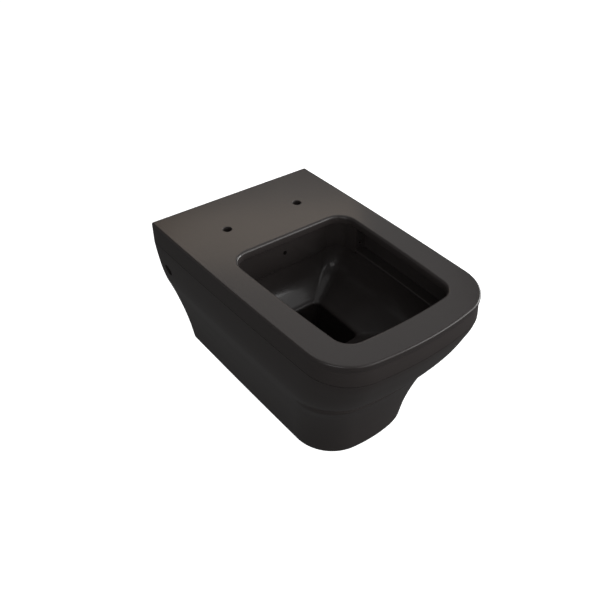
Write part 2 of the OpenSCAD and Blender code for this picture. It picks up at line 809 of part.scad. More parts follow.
// Taper bush in the side hole, which butts on the ear
module clamp_bush() {
    color(nylon)
    translate([0, -fixing_from_wall, 0])
    difference() {
        union() {
            rod_x(bush_in, bush_in + bush_nose_l, bush_nose_d, bush_d);
            rod_x(bush_in + bush_nose_l, bush_in + bush_l, bush_d);
        }
        rod_x(bush_in - over, bush_in + bush_l + over, screw_d + 2 * clear);
        rod_x(head_seat, bush_in + bush_l + over, head_d + 2 * clear);
    }
}
module right_clamp_bush() {
    clamp_bush();
}
module left_clamp_bush() {
    left() clamp_bush();
}

// Socket head screw that turns in the captive nut
module clamp_screw() {
    shank_d = screw_d - 2 * thread_gap;
    socket_af = screw_d * 3 / 4;
    socket_l = screw_d / 2;
    tip = screw_pitch * thread_depth_share;
    start = head_seat - screw_l;
    end = head_seat + screw_d;
    color(steel)
    translate([0, -fixing_from_wall, 0])
    difference() {
        rotate([0, 90, 0]) rotate_extrude() polygon([
            [0, start], [shank_d / 2 - tip, start], [shank_d / 2, start + tip], [shank_d / 2, head_seat],
            [head_d / 2, head_seat], [head_d / 2, end], [0, end]
        ]);
        hex_x(end - socket_l, end + over, socket_af);
    }
}
module right_clamp_screw() {
    clamp_screw();
}
module left_clamp_screw() {
    left() clamp_screw();
}

// Rubber seal for the flush pipe, seated in the inlet
module inlet_seal() {
    collar_d = inlet_d + 2 * seal_collar_w;
    color(rubber)
    translate([0, 0, z_at(inlet_h)])
    difference() {
        union() {
            rod_y(horn_gap, horn_gap + seal_l, inlet_d);
            rod_y(horn_gap - seal_collar_t, horn_gap, collar_d);
        }
        rod_y(horn_gap - seal_collar_t - over, horn_gap + seal_l + over, pipe_d);
    }
}

rim_deck();
outer_shell();
flush_box();
water_guide();
bowl();
sump_well();
trap_upleg();
trap_weir();
outlet_spigot();
inlet_horn();
rear_web();
left_fixing_boss();
right_fixing_boss();
left_wall_bracket();
right_wall_bracket();
bracket_washers();
bracket_nuts();
captive_nuts();
left_clamp_bush();
right_clamp_bush();
left_clamp_screw();
right_clamp_screw();
inlet_seal();
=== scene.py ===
"""Wall hung toilet pan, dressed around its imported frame.

Lengths are metres. The wall is the plane y = 0, the front faces -Y, +Z is up, and the origin lies
midway between the two wall bolts. A depth is measured down from the seat deck.
"""
import logging
import math
from dataclasses import dataclass, replace
from enum import Enum
from typing import Any, Callable, Sequence

import bmesh
import bpy
from bmesh.types import BMEdge, BMesh, BMVert
from mathutils import Matrix, Vector


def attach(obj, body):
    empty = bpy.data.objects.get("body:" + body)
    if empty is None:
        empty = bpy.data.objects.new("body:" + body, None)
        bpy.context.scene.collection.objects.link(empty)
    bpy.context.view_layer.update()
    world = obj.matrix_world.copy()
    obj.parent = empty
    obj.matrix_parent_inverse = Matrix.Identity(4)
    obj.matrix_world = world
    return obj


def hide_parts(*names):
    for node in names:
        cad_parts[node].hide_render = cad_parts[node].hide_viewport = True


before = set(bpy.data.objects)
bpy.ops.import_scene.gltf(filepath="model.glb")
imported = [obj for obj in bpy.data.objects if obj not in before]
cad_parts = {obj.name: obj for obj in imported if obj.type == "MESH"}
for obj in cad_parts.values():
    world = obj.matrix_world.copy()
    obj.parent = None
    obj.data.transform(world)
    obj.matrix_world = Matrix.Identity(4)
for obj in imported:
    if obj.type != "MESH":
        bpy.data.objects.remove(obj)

log = logging.getLogger("pan")
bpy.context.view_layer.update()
DECK_Z = 0.090
# Flat margin kept beside a rounded edge, so that the flat face shades flat
MARGIN = 0.0008
# How far a cutting tool reaches past what it cuts
OVERRUN = 0.002
# Angle from which an edge stays sharp
SHARP = math.radians(38.0)
# Distance within which the points of a piece are welded, and the points on a turned piece's axis
WELD, AXIS_WELD = 1e-6, 1e-7
# Steps of a quarter round, of a small one, and of the circle of a small hole
ROUND_STEPS, SMALL_ROUND_STEPS, HOLE_STEPS = 8, 4, 40
Ring = list[Vector]
# Place on a pipe's centre line: distance from the wall, depth, direction, bore radius
Station = tuple[float, float, float, float]


class Steps(Enum):
    """Points on a plan outline: back corner, side, front corner and half of the front."""

    FINE = (10, 26, 26, 14)
    MEDIUM = (8, 16, 18, 10)


class Side(Enum):
    """Side of the pan as seen from the front."""

    LEFT = -1
    RIGHT = 1

    @property
    def word(self) -> str:
        """Name of the side, as node names use it."""
        return self.name.lower()


class Cut(Enum):
    """What a Boolean cut leaves: the part outside the tool, or the part inside it."""

    OUTSIDE = "DIFFERENCE"
    INSIDE = "INTERSECT"


def mix(a: float, b: float, t: float) -> float:
    """Value between a and b at share t."""
    return a + (b - a) * t


def sweep(start: float, end: float, n: int) -> list[float]:
    """Values from start to end in n even steps, with both ends."""
    return [mix(start, end, i / n) for i in range(n + 1)]


def spot(x: float, y: float, depth: float) -> Vector:
    """Point at a distance y from the wall and a depth below the deck."""
    return Vector((x, -y, DECK_Z - depth))


def towards(azimuth: float, elevation: float) -> Vector:
    """Direction by its degrees round from the front and up from level."""
    a, e = math.radians(azimuth), math.radians(elevation)
    return Vector((math.sin(a) * math.cos(e), -math.cos(a) * math.cos(e), math.sin(e)))


def quarter(n: int) -> list[tuple[float, float]]:
    """Quarter round as shares of its radius.

    Args:
        n: Number of steps.

    Returns:
        Pairs of (share across, share down), from the flat face to the wall.
    """
    return [(math.sin(a), 1 - math.cos(a)) for a in sweep(0.0, math.pi / 2, n)]


@dataclass(frozen=True)
class Shares:
    """Table of shares with a smooth curve through each column. Its first column is the place."""

    rows: tuple[tuple[float, ...], ...]

    def _slope(self, column: int, i: int) -> float:
        """Slope of a column at row i."""
        a, b = max(i - 1, 0), min(i + 1, len(self.rows) - 1)
        return (self.rows[b][column] - self.rows[a][column]) / (self.rows[b][0] - self.rows[a][0])

    def at(self, t: float, column: int) -> float:
        """Value of a column at a place.

        Args:
            t: Place along the first column.
            column: Which column to read.

        Returns:
            The value of the smooth curve there.
        """
        i = 0
        while i < len(self.rows) - 2 and t > self.rows[i + 1][0]:
            i += 1
        low, high = self.rows[i], self.rows[i + 1]
        width = high[0] - low[0]
        u = min(max((t - low[0]) / width, 0.0), 1.0)
        m, n = self._slope(column, i) * width, self._slope(column, i + 1) * width
        return (
            low[column] * (2 * u**3 - 3 * u**2 + 1)
            + m * (u**3 - 2 * u**2 + u)
            + high[column] * (3 * u**2 - 2 * u**3)
            + n * (u**3 - u**2)
        )


@dataclass(frozen=True)
class Plan:
    """Plan outline drawn with arcs that run into each other, symmetric about x = 0."""

    half_width: float
    back: float
    front: float
    side_bow: float
    front_bow: float
    front_r: float
    back_r: float

    def inset(self, d: float) -> "Plan":
        """Outline drawn in by a distance all round.

        Args:
            d: Distance between the two outlines; below zero it goes outward.

        Returns:
            The outline.
        """
        return Plan(
            self.half_width - d, self.back + d, self.front - d, self.side_bow, self.front_bow,
            self.front_r - d, self.back_r - d,
        )

    def between(self, other: "Plan", shares: Sequence[float]) -> "Plan":
        """Outline part of the way to another.

        Args:
            other: The outline at the far end.
            shares: How far the sides, the back, the front and the corners have gone.

        Returns:
            The outline between the two.
        """
        side, back, front, corner = shares
        return Plan(
            mix(self.half_width, other.half_width, side), mix(self.back, other.back, back),
            mix(self.front, other.front, front), mix(self.side_bow, other.side_bow, corner),
            mix(self.front_bow, other.front_bow, corner), mix(self.front_r, other.front_r, corner),
            mix(self.back_r, other.back_r, corner),
        )

    def half(self, steps: Steps) -> list[Vector]:
        """Right half of the outline.

        Args:
            steps: How finely each stretch is divided.

        Returns:
            The points, from the back to the middle of the front.
        """
        side_r = (self.front - self.back) ** 2 / (2 * self.side_bow)
        front_r = (self.half_width**2 + self.front_bow**2) / (2 * self.front_bow)
        side_c = Vector((self.half_width - side_r, -self.back))
        front_c = Vector((0.0, front_r - self.front))
        gap = (front_c - side_c).length
        e = (front_c - side_c) / gap
        ra, rb = side_r - self.front_r, front_r - self.front_r
        along = (ra**2 - rb**2 + gap**2) / (2 * gap)
        corner_c = side_c + along * e + math.sqrt(ra**2 - along**2) * Vector((e.y, -e.x))
        back_c = Vector(
            (side_c.x + math.sqrt((side_r - self.back_r) ** 2 - self.back_r**2), -self.back - self.back_r)
        )

        def angle(v: Vector) -> float:
            """Angle of a direction in plan."""
            return math.atan2(v.y, v.x)

        arcs = (
            (back_c, self.back_r, math.pi / 2, angle(back_c - side_c)),
            (side_c, side_r, angle(back_c - side_c), angle(corner_c - side_c)),
            (corner_c, self.front_r, angle(corner_c - side_c), angle(corner_c - front_c)),
            (front_c, front_r, angle(corner_c - front_c), -math.pi / 2),
        )
        points = [Vector((back_c.x, -self.back))]
        for (c, r, start, end), n in zip(arcs, steps.value):
            points += [c + r * Vector((math.cos(a), math.sin(a))) for a in sweep(start, end, n)[1:]]
        return points

    def ring(self, depth: float, steps: Steps = Steps.FINE) -> Ring:
        """Whole outline at a depth below the deck.

        Args:
            depth: The depth.
            steps: How finely each stretch is divided.

        Returns:
            The points of the closed ring.
        """
        half = self.half(steps)
        whole = half + [Vector((-p.x, p.y)) for p in reversed(half[:-1])]
        return [Vector((p.x, p.y, DECK_Z - depth)) for p in whole]


class Skin:
    """Wall drawn ring by ring with the extrude operator."""

    def __init__(self, ring: Ring, mesh: BMesh | None = None) -> None:
        """Starts a wall from a circle that is laid on its first ring.

        Args:
            ring: Points of the first ring.
            mesh: Mesh to draw in, or none for a new one.
        """
        self.mesh = mesh or bmesh.new()
        made = bmesh.ops.create_circle(self.mesh, segments=len(ring), radius=1.0)
        self.first: list[BMVert] = made["verts"]
        self.last = self.first
        self._lay(self.first, ring)

    @staticmethod
    def _lay(loop: list[BMVert], ring: Ring) -> None:
        """Moves a loop of vertices onto a ring."""
        for vertex, point in zip(loop, ring):
            vertex.co = point

    def edges(self, loop: list[BMVert]) -> list[BMEdge]:
        """Edges round a loop of vertices."""
        pairs = zip(loop, loop[1:] + loop[:1])
        return [next(e for e in a.link_edges if e.other_vert(a) is b) for a, b in pairs]

    def draw(self, *rings: Ring) -> "Skin":
        """Extrudes the wall through more rings.

        Args:
            *rings: Rings with as many points as the first.

        Returns:
            The same skin.
        """
        for ring in rings:
            old = {v: i for i, v in enumerate(self.last)}
            made = bmesh.ops.extrude_edge_only(self.mesh, edges=self.edges(self.last))["geom"]
            loop: list[BMVert] = list(self.last)
            for v in (g for g in made if isinstance(g, BMVert)):
                foot = next(e.other_vert(v) for e in v.link_edges if e.other_vert(v) in old)
                loop[old[foot]] = v
            self.last = loop
            self._lay(loop, ring)
        return self

    def join_ends(self) -> "Skin":
        """Welds the last ring onto the first, which it has to lie on."""
        bmesh.ops.weld_verts(self.mesh, targetmap=dict(zip(self.last, self.first)))
        return self

    def cap(self, loop: list[BMVert]) -> "Skin":
        """Closes a flat end with one face."""
        bmesh.ops.contextual_create(self.mesh, geom=self.edges(loop))
        return self

    def cap_both(self) -> "Skin":
        """Closes both ends."""
        return self.cap(self.first).cap(self.last)


def closed_wall(rings: Sequence[Ring]) -> BMesh:
    """Draws a wall through rings and back to the first, so that it closes on itself."""
    return Skin(rings[0]).draw(*rings[1:], rings[0]).join_ends().mesh


def fill_flat(mesh: BMesh, edges: list[BMEdge], normal: Vector) -> None:
    """Fills a flat face that has holes.

    Args:
        mesh: Mesh to fill in.
        edges: Edges of the outline and of the holes.
        normal: Direction in which the face looks.
    """
    bmesh.ops.triangle_fill(mesh, edges=edges, use_beauty=True, normal=normal)


def make_piece(mesh: BMesh, name: str) -> bpy.types.Object:
    """Turns a closed bmesh into an object with smooth faces and true corners.

    Args:
        mesh: The mesh, which is freed.
        name: Name of the piece.

    Returns:
        The new object, at the origin.
    """
    bmesh.ops.remove_doubles(mesh, verts=mesh.verts[:], dist=WELD)
    bmesh.ops.recalc_face_normals(mesh, faces=mesh.faces[:])
    data = bpy.data.meshes.new(name)
    mesh.to_mesh(data)
    mesh.free()
    piece = bpy.data.objects.new(name, data)
    bpy.context.scene.collection.objects.link(piece)
    shade(piece)
    return piece


def shade(piece: bpy.types.Object) -> None:
    """Shades a piece smooth, apart from its true corners.

    Args:
        piece: The piece.
    """
    for face in piece.data.polygons:
        face.use_smooth = True
    piece.data.set_sharp_from_angle(angle=SHARP)


def apply_boolean(
    piece: bpy.types.Object, tools: Sequence[bpy.types.Object], cut: Cut = Cut.OUTSIDE
) -> None:
    """Cuts a piece with other objects, which are then removed.

    Args:
        piece: Piece to cut.
        tools: Closed objects to cut with.
        cut: What the cut leaves.
    """
    for tool in tools:
        modifier = piece.modifiers.new("cut", "BOOLEAN")
        modifier.operation = cut.value
        modifier.solver = "EXACT"
        modifier.object = tool
    graph = bpy.context.evaluated_depsgraph_get()
    data = bpy.data.meshes.new_from_object(piece.evaluated_get(graph))
    piece.modifiers.clear()
    piece.data = data
    for tool in tools:
        bpy.data.objects.remove(tool)
    shade(piece)


def turned(
    profile: Sequence[tuple[float, float]], axis: Vector, centre: Vector, segments: int = 96
) -> BMesh:
    """Turns a profile about an axis with the spin operator.

    Args:
        profile: Closed outline as (radius, distance along the axis).
        axis: Direction of the axis.
        centre: Point that the distances start from.
        segments: Steps of the full turn.

    Returns:
        The closed mesh.
    """
    across = axis.orthogonal().normalized()
    mesh = bmesh.new()
    points = [centre + across * r + axis * d for r, d in profile]
    verts = [bmesh.ops.create_vert(mesh, co=p)["vert"][0] for p in points]
    for a, b in zip(verts, verts[1:] + verts[:1]):
        bmesh.ops.contextual_create(mesh, geom=[a, b])
    bmesh.ops.spin(
        mesh, geom=mesh.verts[:] + mesh.edges[:], cent=centre, axis=axis, angle=2 * math.pi,
        steps=segments, use_merge=True,
    )
    bmesh.ops.remove_doubles(mesh, verts=mesh.verts[:], dist=AXIS_WELD)
    return mesh


def rod(start: Vector, end: Vector, radius: float, segments: int = 64) -> bpy.types.Object:
    """Makes a plain rod to cut a bore with.

    Args:
        start: Middle of one end.
        end: Middle of the other end.
        radius: Radius to the corners.
        segments: Sides of the rod.

    Returns:
        The rod.
    """
    mesh = bmesh.new()
    length = (end - start).length
    turn = (end - start).to_track_quat("Z", "Y").to_matrix().to_4x4()
    bmesh.ops.create_cone(
        mesh, cap_ends=True, segments=segments, radius1=radius, radius2=radius, depth=length,
        matrix=Matrix.Translation((start + end) / 2) @ turn,
    )
    return make_piece(mesh, "tool")


class Value:
    """Number in a shader, so that shader sums read as plain sums."""

    def __init__(self, graph: "Graph", socket: bpy.types.NodeSocket) -> None:
        """Wraps an output socket of a graph."""
        self.graph = graph
        self.socket = socket

    def _math(self, operation: str, a: Any, b: Any) -> "Value":
        """Adds a Math node."""
        node = self.graph.add("ShaderNodeMath", {"operation": operation}, {0: a, 1: b})
        return Value(self.graph, node.outputs[0])

    def __add__(self, other: Any) -> "Value":
        """Sum of this value and another."""
        return self._math("ADD", self, other)

    __radd__ = __add__

    def __sub__(self, other: Any) -> "Value":
        """Difference of this value and another."""
        return self._math("SUBTRACT", self, other)

    def __rsub__(self, other: Any) -> "Value":
        """Another value less this one."""
        return self._math("SUBTRACT", other, self)

    def __mul__(self, other: Any) -> "Value":
        """Product of this value and another."""
        return self._math("MULTIPLY", self, other)

    __rmul__ = __mul__


class Graph:
    """Node tree of one material."""

    def __init__(self, name: str) -> None:
        """Starts a material with one Principled shader.

        Args:
            name: Name of the material.
        """
        self.material = bpy.data.materials.new(name)
        self.material.use_nodes = True
        self.tree = self.material.node_tree
        self.shader = self.tree.nodes["Principled BSDF"]
        self.place = self.add("ShaderNodeTexCoord").outputs["Object"]

    def add(
        self, kind: str, settings: dict[str, Any] | None = None, sockets: dict[Any, Any] | None = None
    ) -> bpy.types.Node:
        """Adds a node.

        Args:
            kind: The node's type.
            settings: Settings of the node, made first.
            sockets: Values or links of its input sockets, by name or number.

        Returns:
            The new node.
        """
        node = self.tree.nodes.new(kind)
        for key, value in (settings or {}).items():
            setattr(node, key, value)
        for key, value in (sockets or {}).items():
            self.feed(node.inputs[key], value)
        return node

    def feed(self, socket: bpy.types.NodeSocket, value: Any) -> None:
        """Sets a socket to a value, or links it.

        Args:
            socket: The input socket.
            value: A constant, a shader value or an output socket.
        """
        if isinstance(value, Value):
            value = value.socket
        if isinstance(value, bpy.types.NodeSocket):
            self.tree.links.new(value, socket)
        else:
            socket.default_value = value

    def noise(self, scale: float, detail: float = 2.0, rough: float = 0.5) -> Value:
        """Noise between 0 and 1 over the object.

        Args:
            scale: Features per metre.
            detail: Octaves.
            rough: Weight of the finer octaves.

        Returns:
            The noise value.
        """
        node = self.add("ShaderNodeTexNoise", {}, {
            "Vector": self.place, "Scale": scale, "Detail": detail, "Roughness": rough,
        })
        return Value(self, node.outputs[0])

    def blend(self, factor: Any, a: Sequence[float], b: Sequence[float]) -> bpy.types.NodeSocket:
        """Mixes two colours."""
        node = self.add("ShaderNodeMix", {"data_type": "RGBA"}, {0: factor, 6: (*a, 1.0), 7: (*b, 1.0)})
        return node.outputs[2]

    def bump(self, height: Value, depth: float) -> None:
        """Feeds a bump of a real depth in metres to the shader."""
        node = self.add("ShaderNodeBump", {}, {"Strength": 1.0, "Distance": depth, "Height": height})
        self.feed(self.shader.inputs["Normal"], node.outputs[0])

    def set(self, **values: Any) -> None:
        """Sets the shader's sockets. An underscore in a name stands for a space."""
        for key, value in values.items():
            self.feed(self.shader.inputs[key.replace("_", " ")], value)


@dataclass(frozen=True)
class Glaze:
    """Dark semi-gloss glaze over vitreous china."""

    slot: str = "glaze"
    light: tuple[float, float, float] = (0.060, 0.051, 0.049)
    dark: tuple[float, float, float] = (0.052, 0.044, 0.042)
    roughness: float = 0.42
    roughness_drift: float = 0.08
    coat_weight: float = 0.6
    coat_roughness: float = 0.15
    ior: float = 1.5
    speck_scale: float = 900.0
    speck_share: float = 0.4
    cloud_scale: float = 14.0
    cloud_detail: float = 3.0
    peel_scale: float = 150.0
    peel_depth: float = 0.00001

    def material(self) -> bpy.types.Material:
        """Builds the glaze.

        Returns:
            The material.
        """
        g = Graph("dark_glaze")
        cloud = g.noise(self.cloud_scale, self.cloud_detail)
        speck = g.noise(self.speck_scale)
        tone = cloud * (1 - self.speck_share) + speck * self.speck_share
        g.set(
            Base_Color=g.blend(tone, self.dark, self.light),
            Roughness=(cloud - 0.5) * self.roughness_drift + self.roughness,
            Coat_Weight=self.coat_weight,
            Coat_Roughness=self.coat_roughness,
            Coat_IOR=self.ior,
            IOR=self.ior,
        )
        g.bump(g.noise(self.peel_scale), self.peel_depth)
        return g.material


@dataclass(frozen=True)
class FineGrain:
    """Metal, plastic or rubber with a slow drift of tone and a fine grain."""

    slot: str
    light: tuple[float, float, float]
    dark: tuple[float, float, float]
    roughness: float
    roughness_drift: float
    cloud_scale: float
    grain_scale: float
    grain_depth: float
    cloud_detail: float = 3.0
    cloud_rough: float = 0.5
    metallic: float = 0.0

    def material(self) -> bpy.types.Material:
        """Builds the finish.

        Returns:
            The material.
        """
        g = Graph(self.slot)
        cloud = g.noise(self.cloud_scale, self.cloud_detail, self.cloud_rough)
        g.set(
            Base_Color=g.blend(cloud, self.dark, self.light), Metallic=self.metallic,
            Roughness=(cloud - 0.5) * self.roughness_drift + self.roughness,
        )
        g.bump(g.noise(self.grain_scale), self.grain_depth)
        return g.material


ZINC_STEEL = FineGrain(
    "zinc_steel", light=(0.66, 0.67, 0.68), dark=(0.50, 0.51, 0.53), roughness=0.34, roughness_drift=0.2,
    cloud_scale=120.0, cloud_detail=4.0, cloud_rough=0.6, grain_scale=900.0, grain_depth=0.00002,
    metallic=1.0,
)
SCREW_STEEL = FineGrain(
    "screw_steel", light=(0.60, 0.60, 0.61), dark=(0.45, 0.45, 0.46), roughness=0.25, roughness_drift=0.15,
    cloud_scale=300.0, grain_scale=1200.0, grain_depth=0.00001, metallic=1.0,
)
BLACK_NYLON = FineGrain(
    "black_nylon", light=(0.030, 0.030, 0.032), dark=(0.018, 0.018, 0.020), roughness=0.45,
    roughness_drift=0.15, cloud_scale=60.0, grain_scale=1500.0, grain_depth=0.00002,
)
RUBBER = FineGrain(
    "rubber", light=(0.024, 0.024, 0.024), dark=(0.014, 0.014, 0.014), roughness=0.7, roughness_drift=0.15,
    cloud_scale=60.0, grain_scale=900.0, grain_depth=0.00003,
)


@dataclass
class Dresser:
    """Puts finished pieces on their bodies, with their finish and the nodes that they stand for."""

    body: str
    slot: str
    material: bpy.types.Material

    def dress(self, piece: bpy.types.Object, *nodes: str) -> bpy.types.Object:
        """Dresses a piece.

        Args:
            piece: The piece.
            nodes: CAD nodes that it replaces.

        Returns:
            The same piece.
        """
        piece.data.materials.clear()
        piece.data.materials.append(self.material)
        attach(piece, self.body)
        if nodes:
            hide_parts(*nodes)
        log.info("%s: %d faces on %s", piece.name, len(piece.data.polygons), self.body)
        return piece

    def keep(self, node: str) -> None:
        """Gives a CAD node that stays its finish.

        Args:
            node: Name of the node.
        """
        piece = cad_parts[node]
        for slot in piece.material_slots:
            slot.material = self.material
        if not piece.material_slots:
            piece.data.materials.append(self.material)
        log.info("%s: kept", node)


@dataclass(frozen=True)
class PanSizes:
    """Sizes that several castings share."""

    width: float = 0.350
    length: float = 0.530
    height: float = 0.310
    side_draw: float = 0.060
    front_draw: float = 0.097
    side_bow: float = 0.013
    base_side_bow: float = 0.005
    front_bow: float = 0.025
    base_front_bow: float = 0.023
    corner_r: float = 0.080
    wall_edge_r: float = 0.004
    base_edge_r: float = 0.008
    shell_t: float = 0.012
    rim_h: float = 0.040
    seam_half: float = 0.0004
    seam_d: float = 0.002
    deck_t: float = 0.015
    rim_t: float = 0.010
    rim_side: float = 0.0475
    rim_front: float = 0.048
    opening_back: float = 0.178
    opening_side_bow: float = 0.012
    opening_front_bow: float = 0.009
    opening_front_r: float = 0.036
    opening_back_r: float = 0.038
    opening_edge_r: float = 0.005
    ledge_proud: float = 0.0013
    bowl_joint_h: float = 0.067
    box_face: float = 0.170
    box_arm: float = 0.225
    channel_w: float = 0.024
    way_t: float = 0.008
    sump_half: float = 0.045
    sump_back: float = 0.210
    sump_front: float = 0.331
    sump_bow: float = 0.0025
    sump_r: float = 0.011
    sump_edge_h: float = 0.155
    well_joint_h: float = 0.168
    well_floor_h: float = 0.289
    wall_t: float = 0.008
    trap_r: float = 0.028
    trap_lift: float = 0.001
    inlet_h: float = 0.055
    inlet_r: float = 0.0375
    outlet_h: float = 0.190
    outlet_bore_r: float = 0.043
    outlet_end: float = 0.066
    fixing_from_wall: float = 0.033
    fixing_h: float = 0.090

    skirt_table: Shares = Shares((
        (0.00, 0.000, 0.000),
        (0.045, 0.020, 0.030),
        (0.11, 0.055, 0.100),
        (0.22, 0.130, 0.225),
        (0.315, 0.225, 0.365),
        (0.365, 0.300, 0.510),
        (0.39, 0.340, 0.595),
        (0.402, 0.359, 0.610),
        (0.416, 0.381, 0.600),
        (0.44, 0.418, 0.590),
        (0.47, 0.463, 0.625),
        (0.52, 0.530, 0.700),
        (0.67, 0.715, 0.835),
        (0.815, 0.860, 0.930),
        (0.92, 0.940, 0.975),
        (1.00, 1.000, 1.000),
    ))

    def skirt(self, t: float) -> Plan:
        """Outline of the body.

        Args:
            t: Share of the skirt's depth.

        Returns:
            The outline there.
        """
        table = self.skirt_table
        front = self.length - self.front_draw * table.at(t, 2)
        # The chin's fold doesn't change how the sides curve
        steady = (front / (self.length - self.front_draw * t)) ** 2
        return Plan(
            self.width / 2 - self.side_draw * table.at(t, 1), 0.0, front,
            mix(self.side_bow, self.base_side_bow, t) * steady,
            mix(self.front_bow, self.base_front_bow, t), self.corner_r, self.wall_edge_r,
        )

    def skirt_depth(self, t: float) -> float:
        """Depth at a share of the skirt."""
        return mix(self.rim_h, self.height, t)

    @property
    def trap_h(self) -> float:
        """Depth of the middle of the way from the well into the trapway."""
        return self.well_floor_h - self.trap_r - self.trap_lift

    def opening(self, d: float) -> Plan:
        """Outline of the opening at the deck, drawn in by a distance.

        Args:
            d: Distance inside the edge.

        Returns:
            The outline.
        """
        return Plan(
            self.width / 2 - self.rim_side, self.opening_back, self.length - self.rim_front,
            self.opening_side_bow, self.opening_front_bow, self.opening_front_r, self.opening_back_r,
        ).inset(d)

    def ledge(self, d: float) -> Plan:
        """Outline a distance outside the edge of the ledge."""
        return self.opening(self.opening_edge_r + self.ledge_proud - d)

    def sump(self, d: float) -> Plan:
        """Outline a distance outside the sump's edge.

        Args:
            d: Distance outside the edge.

        Returns:
            The outline.
        """
        return Plan(
            self.sump_half, self.sump_back, self.sump_front,
            side_bow=self.sump_bow, front_bow=self.sump_bow, front_r=self.sump_r, back_r=self.sump_r,
        ).inset(-d)


SIZES = PanSizes()


@dataclass
class RimDeck:
    """Seat deck, bull nose, outer wall of the rim and lip of the opening."""

    dresser: Dresser
    edge_r: float = 0.003
    neck_d: float = 0.0026
    lip_r: float = 0.001
    seat_hole_r: float = 0.008
    seat_half: float = 0.0775
    seat_from_wall: float = 0.103
    hole_edge_r: float = 0.001
    # Depth, and how much of the neck's depth the front has drawn in there
    nose: Shares = Shares((
        (0.0045, 0.03), (0.0060, 0.08), (0.0075, 0.17), (0.0090, 0.30), (0.0105, 0.48), (0.0118, 0.68),
        (0.0128, 0.88), (0.0133, 0.98), (0.0137, 1.00), (0.0146, 0.95), (0.0180, 0.76), (0.0230, 0.50),
        (0.0280, 0.27), (0.0330, 0.10), (0.0370, 0.01),
    ))

    def _outside(self, mesh: BMesh) -> Skin:
        """Draws the outside from the deck down to the seam and back up inside the rim.

        Args:
            mesh: Mesh to draw in.

        Returns:
            The skin of the outside.
        """
        top = SIZES.skirt(0.0)
        skin = Skin(top.inset(self.edge_r + MARGIN).ring(0.0), mesh)
        for across, down in quarter(ROUND_STEPS):
            skin.draw(top.inset(self.edge_r * (1 - across)).ring(self.edge_r * down))
        for depth, share in self.nose.rows:
            skin.draw(replace(top, front=top.front - self.neck_d * share).ring(depth))
        inner = top.inset(SIZES.rim_t)
        groove = top.inset(SIZES.seam_d)
        edge_h = SIZES.rim_h - SIZES.seam_half
        return skin.draw(
            top.ring(edge_h), groove.ring(edge_h), groove.ring(SIZES.rim_h), inner.ring(SIZES.rim_h),
            inner.ring(SIZES.deck_t), inner.inset(MARGIN).ring(SIZES.deck_t),
        )

    def _opening(self, mesh: BMesh) -> Skin:
        """Draws the lip of the opening.

        Args:
            mesh: Mesh to draw in.

        Returns:
            The skin of the lip.
        """
        r = SIZES.opening_edge_r
        skin = Skin(SIZES.opening(-MARGIN).ring(0.0), mesh)
        for across, down in quarter(ROUND_STEPS):
            skin.draw(SIZES.opening(r * across).ring(r * down))
        for across, down in quarter(SMALL_ROUND_STEPS):
            back = self.lip_r * (1 - math.sqrt(max(1 - across**2, 0.0)))
            skin.draw(SIZES.opening(r - back).ring(SIZES.deck_t - self.lip_r * (1 - across)))
        return skin.draw(SIZES.opening(r - self.lip_r - MARGIN).ring(SIZES.deck_t))

    def _seat_hole(self, mesh: BMesh, side: Side) -> Skin:
        """Draws a seat hole with a small rounded edge.

        Args:
            mesh: Mesh to draw in.
            side: Side of the hole.

        Returns:
            The skin of the hole.
        """
        x = side.value * self.seat_half

        def circle(r: float, depth: float) -> Ring:
            """Circle round the hole's axis."""
            return [
                spot(x + r * math.cos(a), self.seat_from_wall + r * math.sin(a), depth)
                for a in sweep(0.0, 2 * math.pi, HOLE_STEPS)[:-1]
            ]

        skin = Skin(circle(self.seat_hole_r + self.hole_edge_r + MARGIN, 0.0), mesh)
        for across, down in quarter(SMALL_ROUND_STEPS):
            skin.draw(circle(self.seat_hole_r + self.hole_edge_r * (1 - across), self.hole_edge_r * down))
        return skin.draw(
            circle(self.seat_hole_r, SIZES.deck_t), circle(self.seat_hole_r + MARGIN, SIZES.deck_t)
        )

    def build(self) -> bpy.types.Object:
        """Builds the rim and cuts the notch that the flush inlet passes through.

        Returns:
            The dressed piece.
        """
        mesh = bmesh.new()
        skins = [self._outside(mesh), self._opening(mesh)] + [self._seat_hole(mesh, s) for s in Side]
        fill_flat(mesh, [e for s in skins for e in s.edges(s.first)], Vector((0, 0, 1)))
        fill_flat(mesh, [e for s in skins for e in s.edges(s.last)], Vector((0, 0, -1)))
        piece = make_piece(mesh, "glazed_rim")
        notch = rod(
            spot(0, -OVERRUN, SIZES.inlet_h), spot(0, SIZES.rim_t + OVERRUN, SIZES.inlet_h), SIZES.inlet_r
        )
        apply_boolean(piece, [notch])
        return self.dresser.dress(piece, "rim_deck")


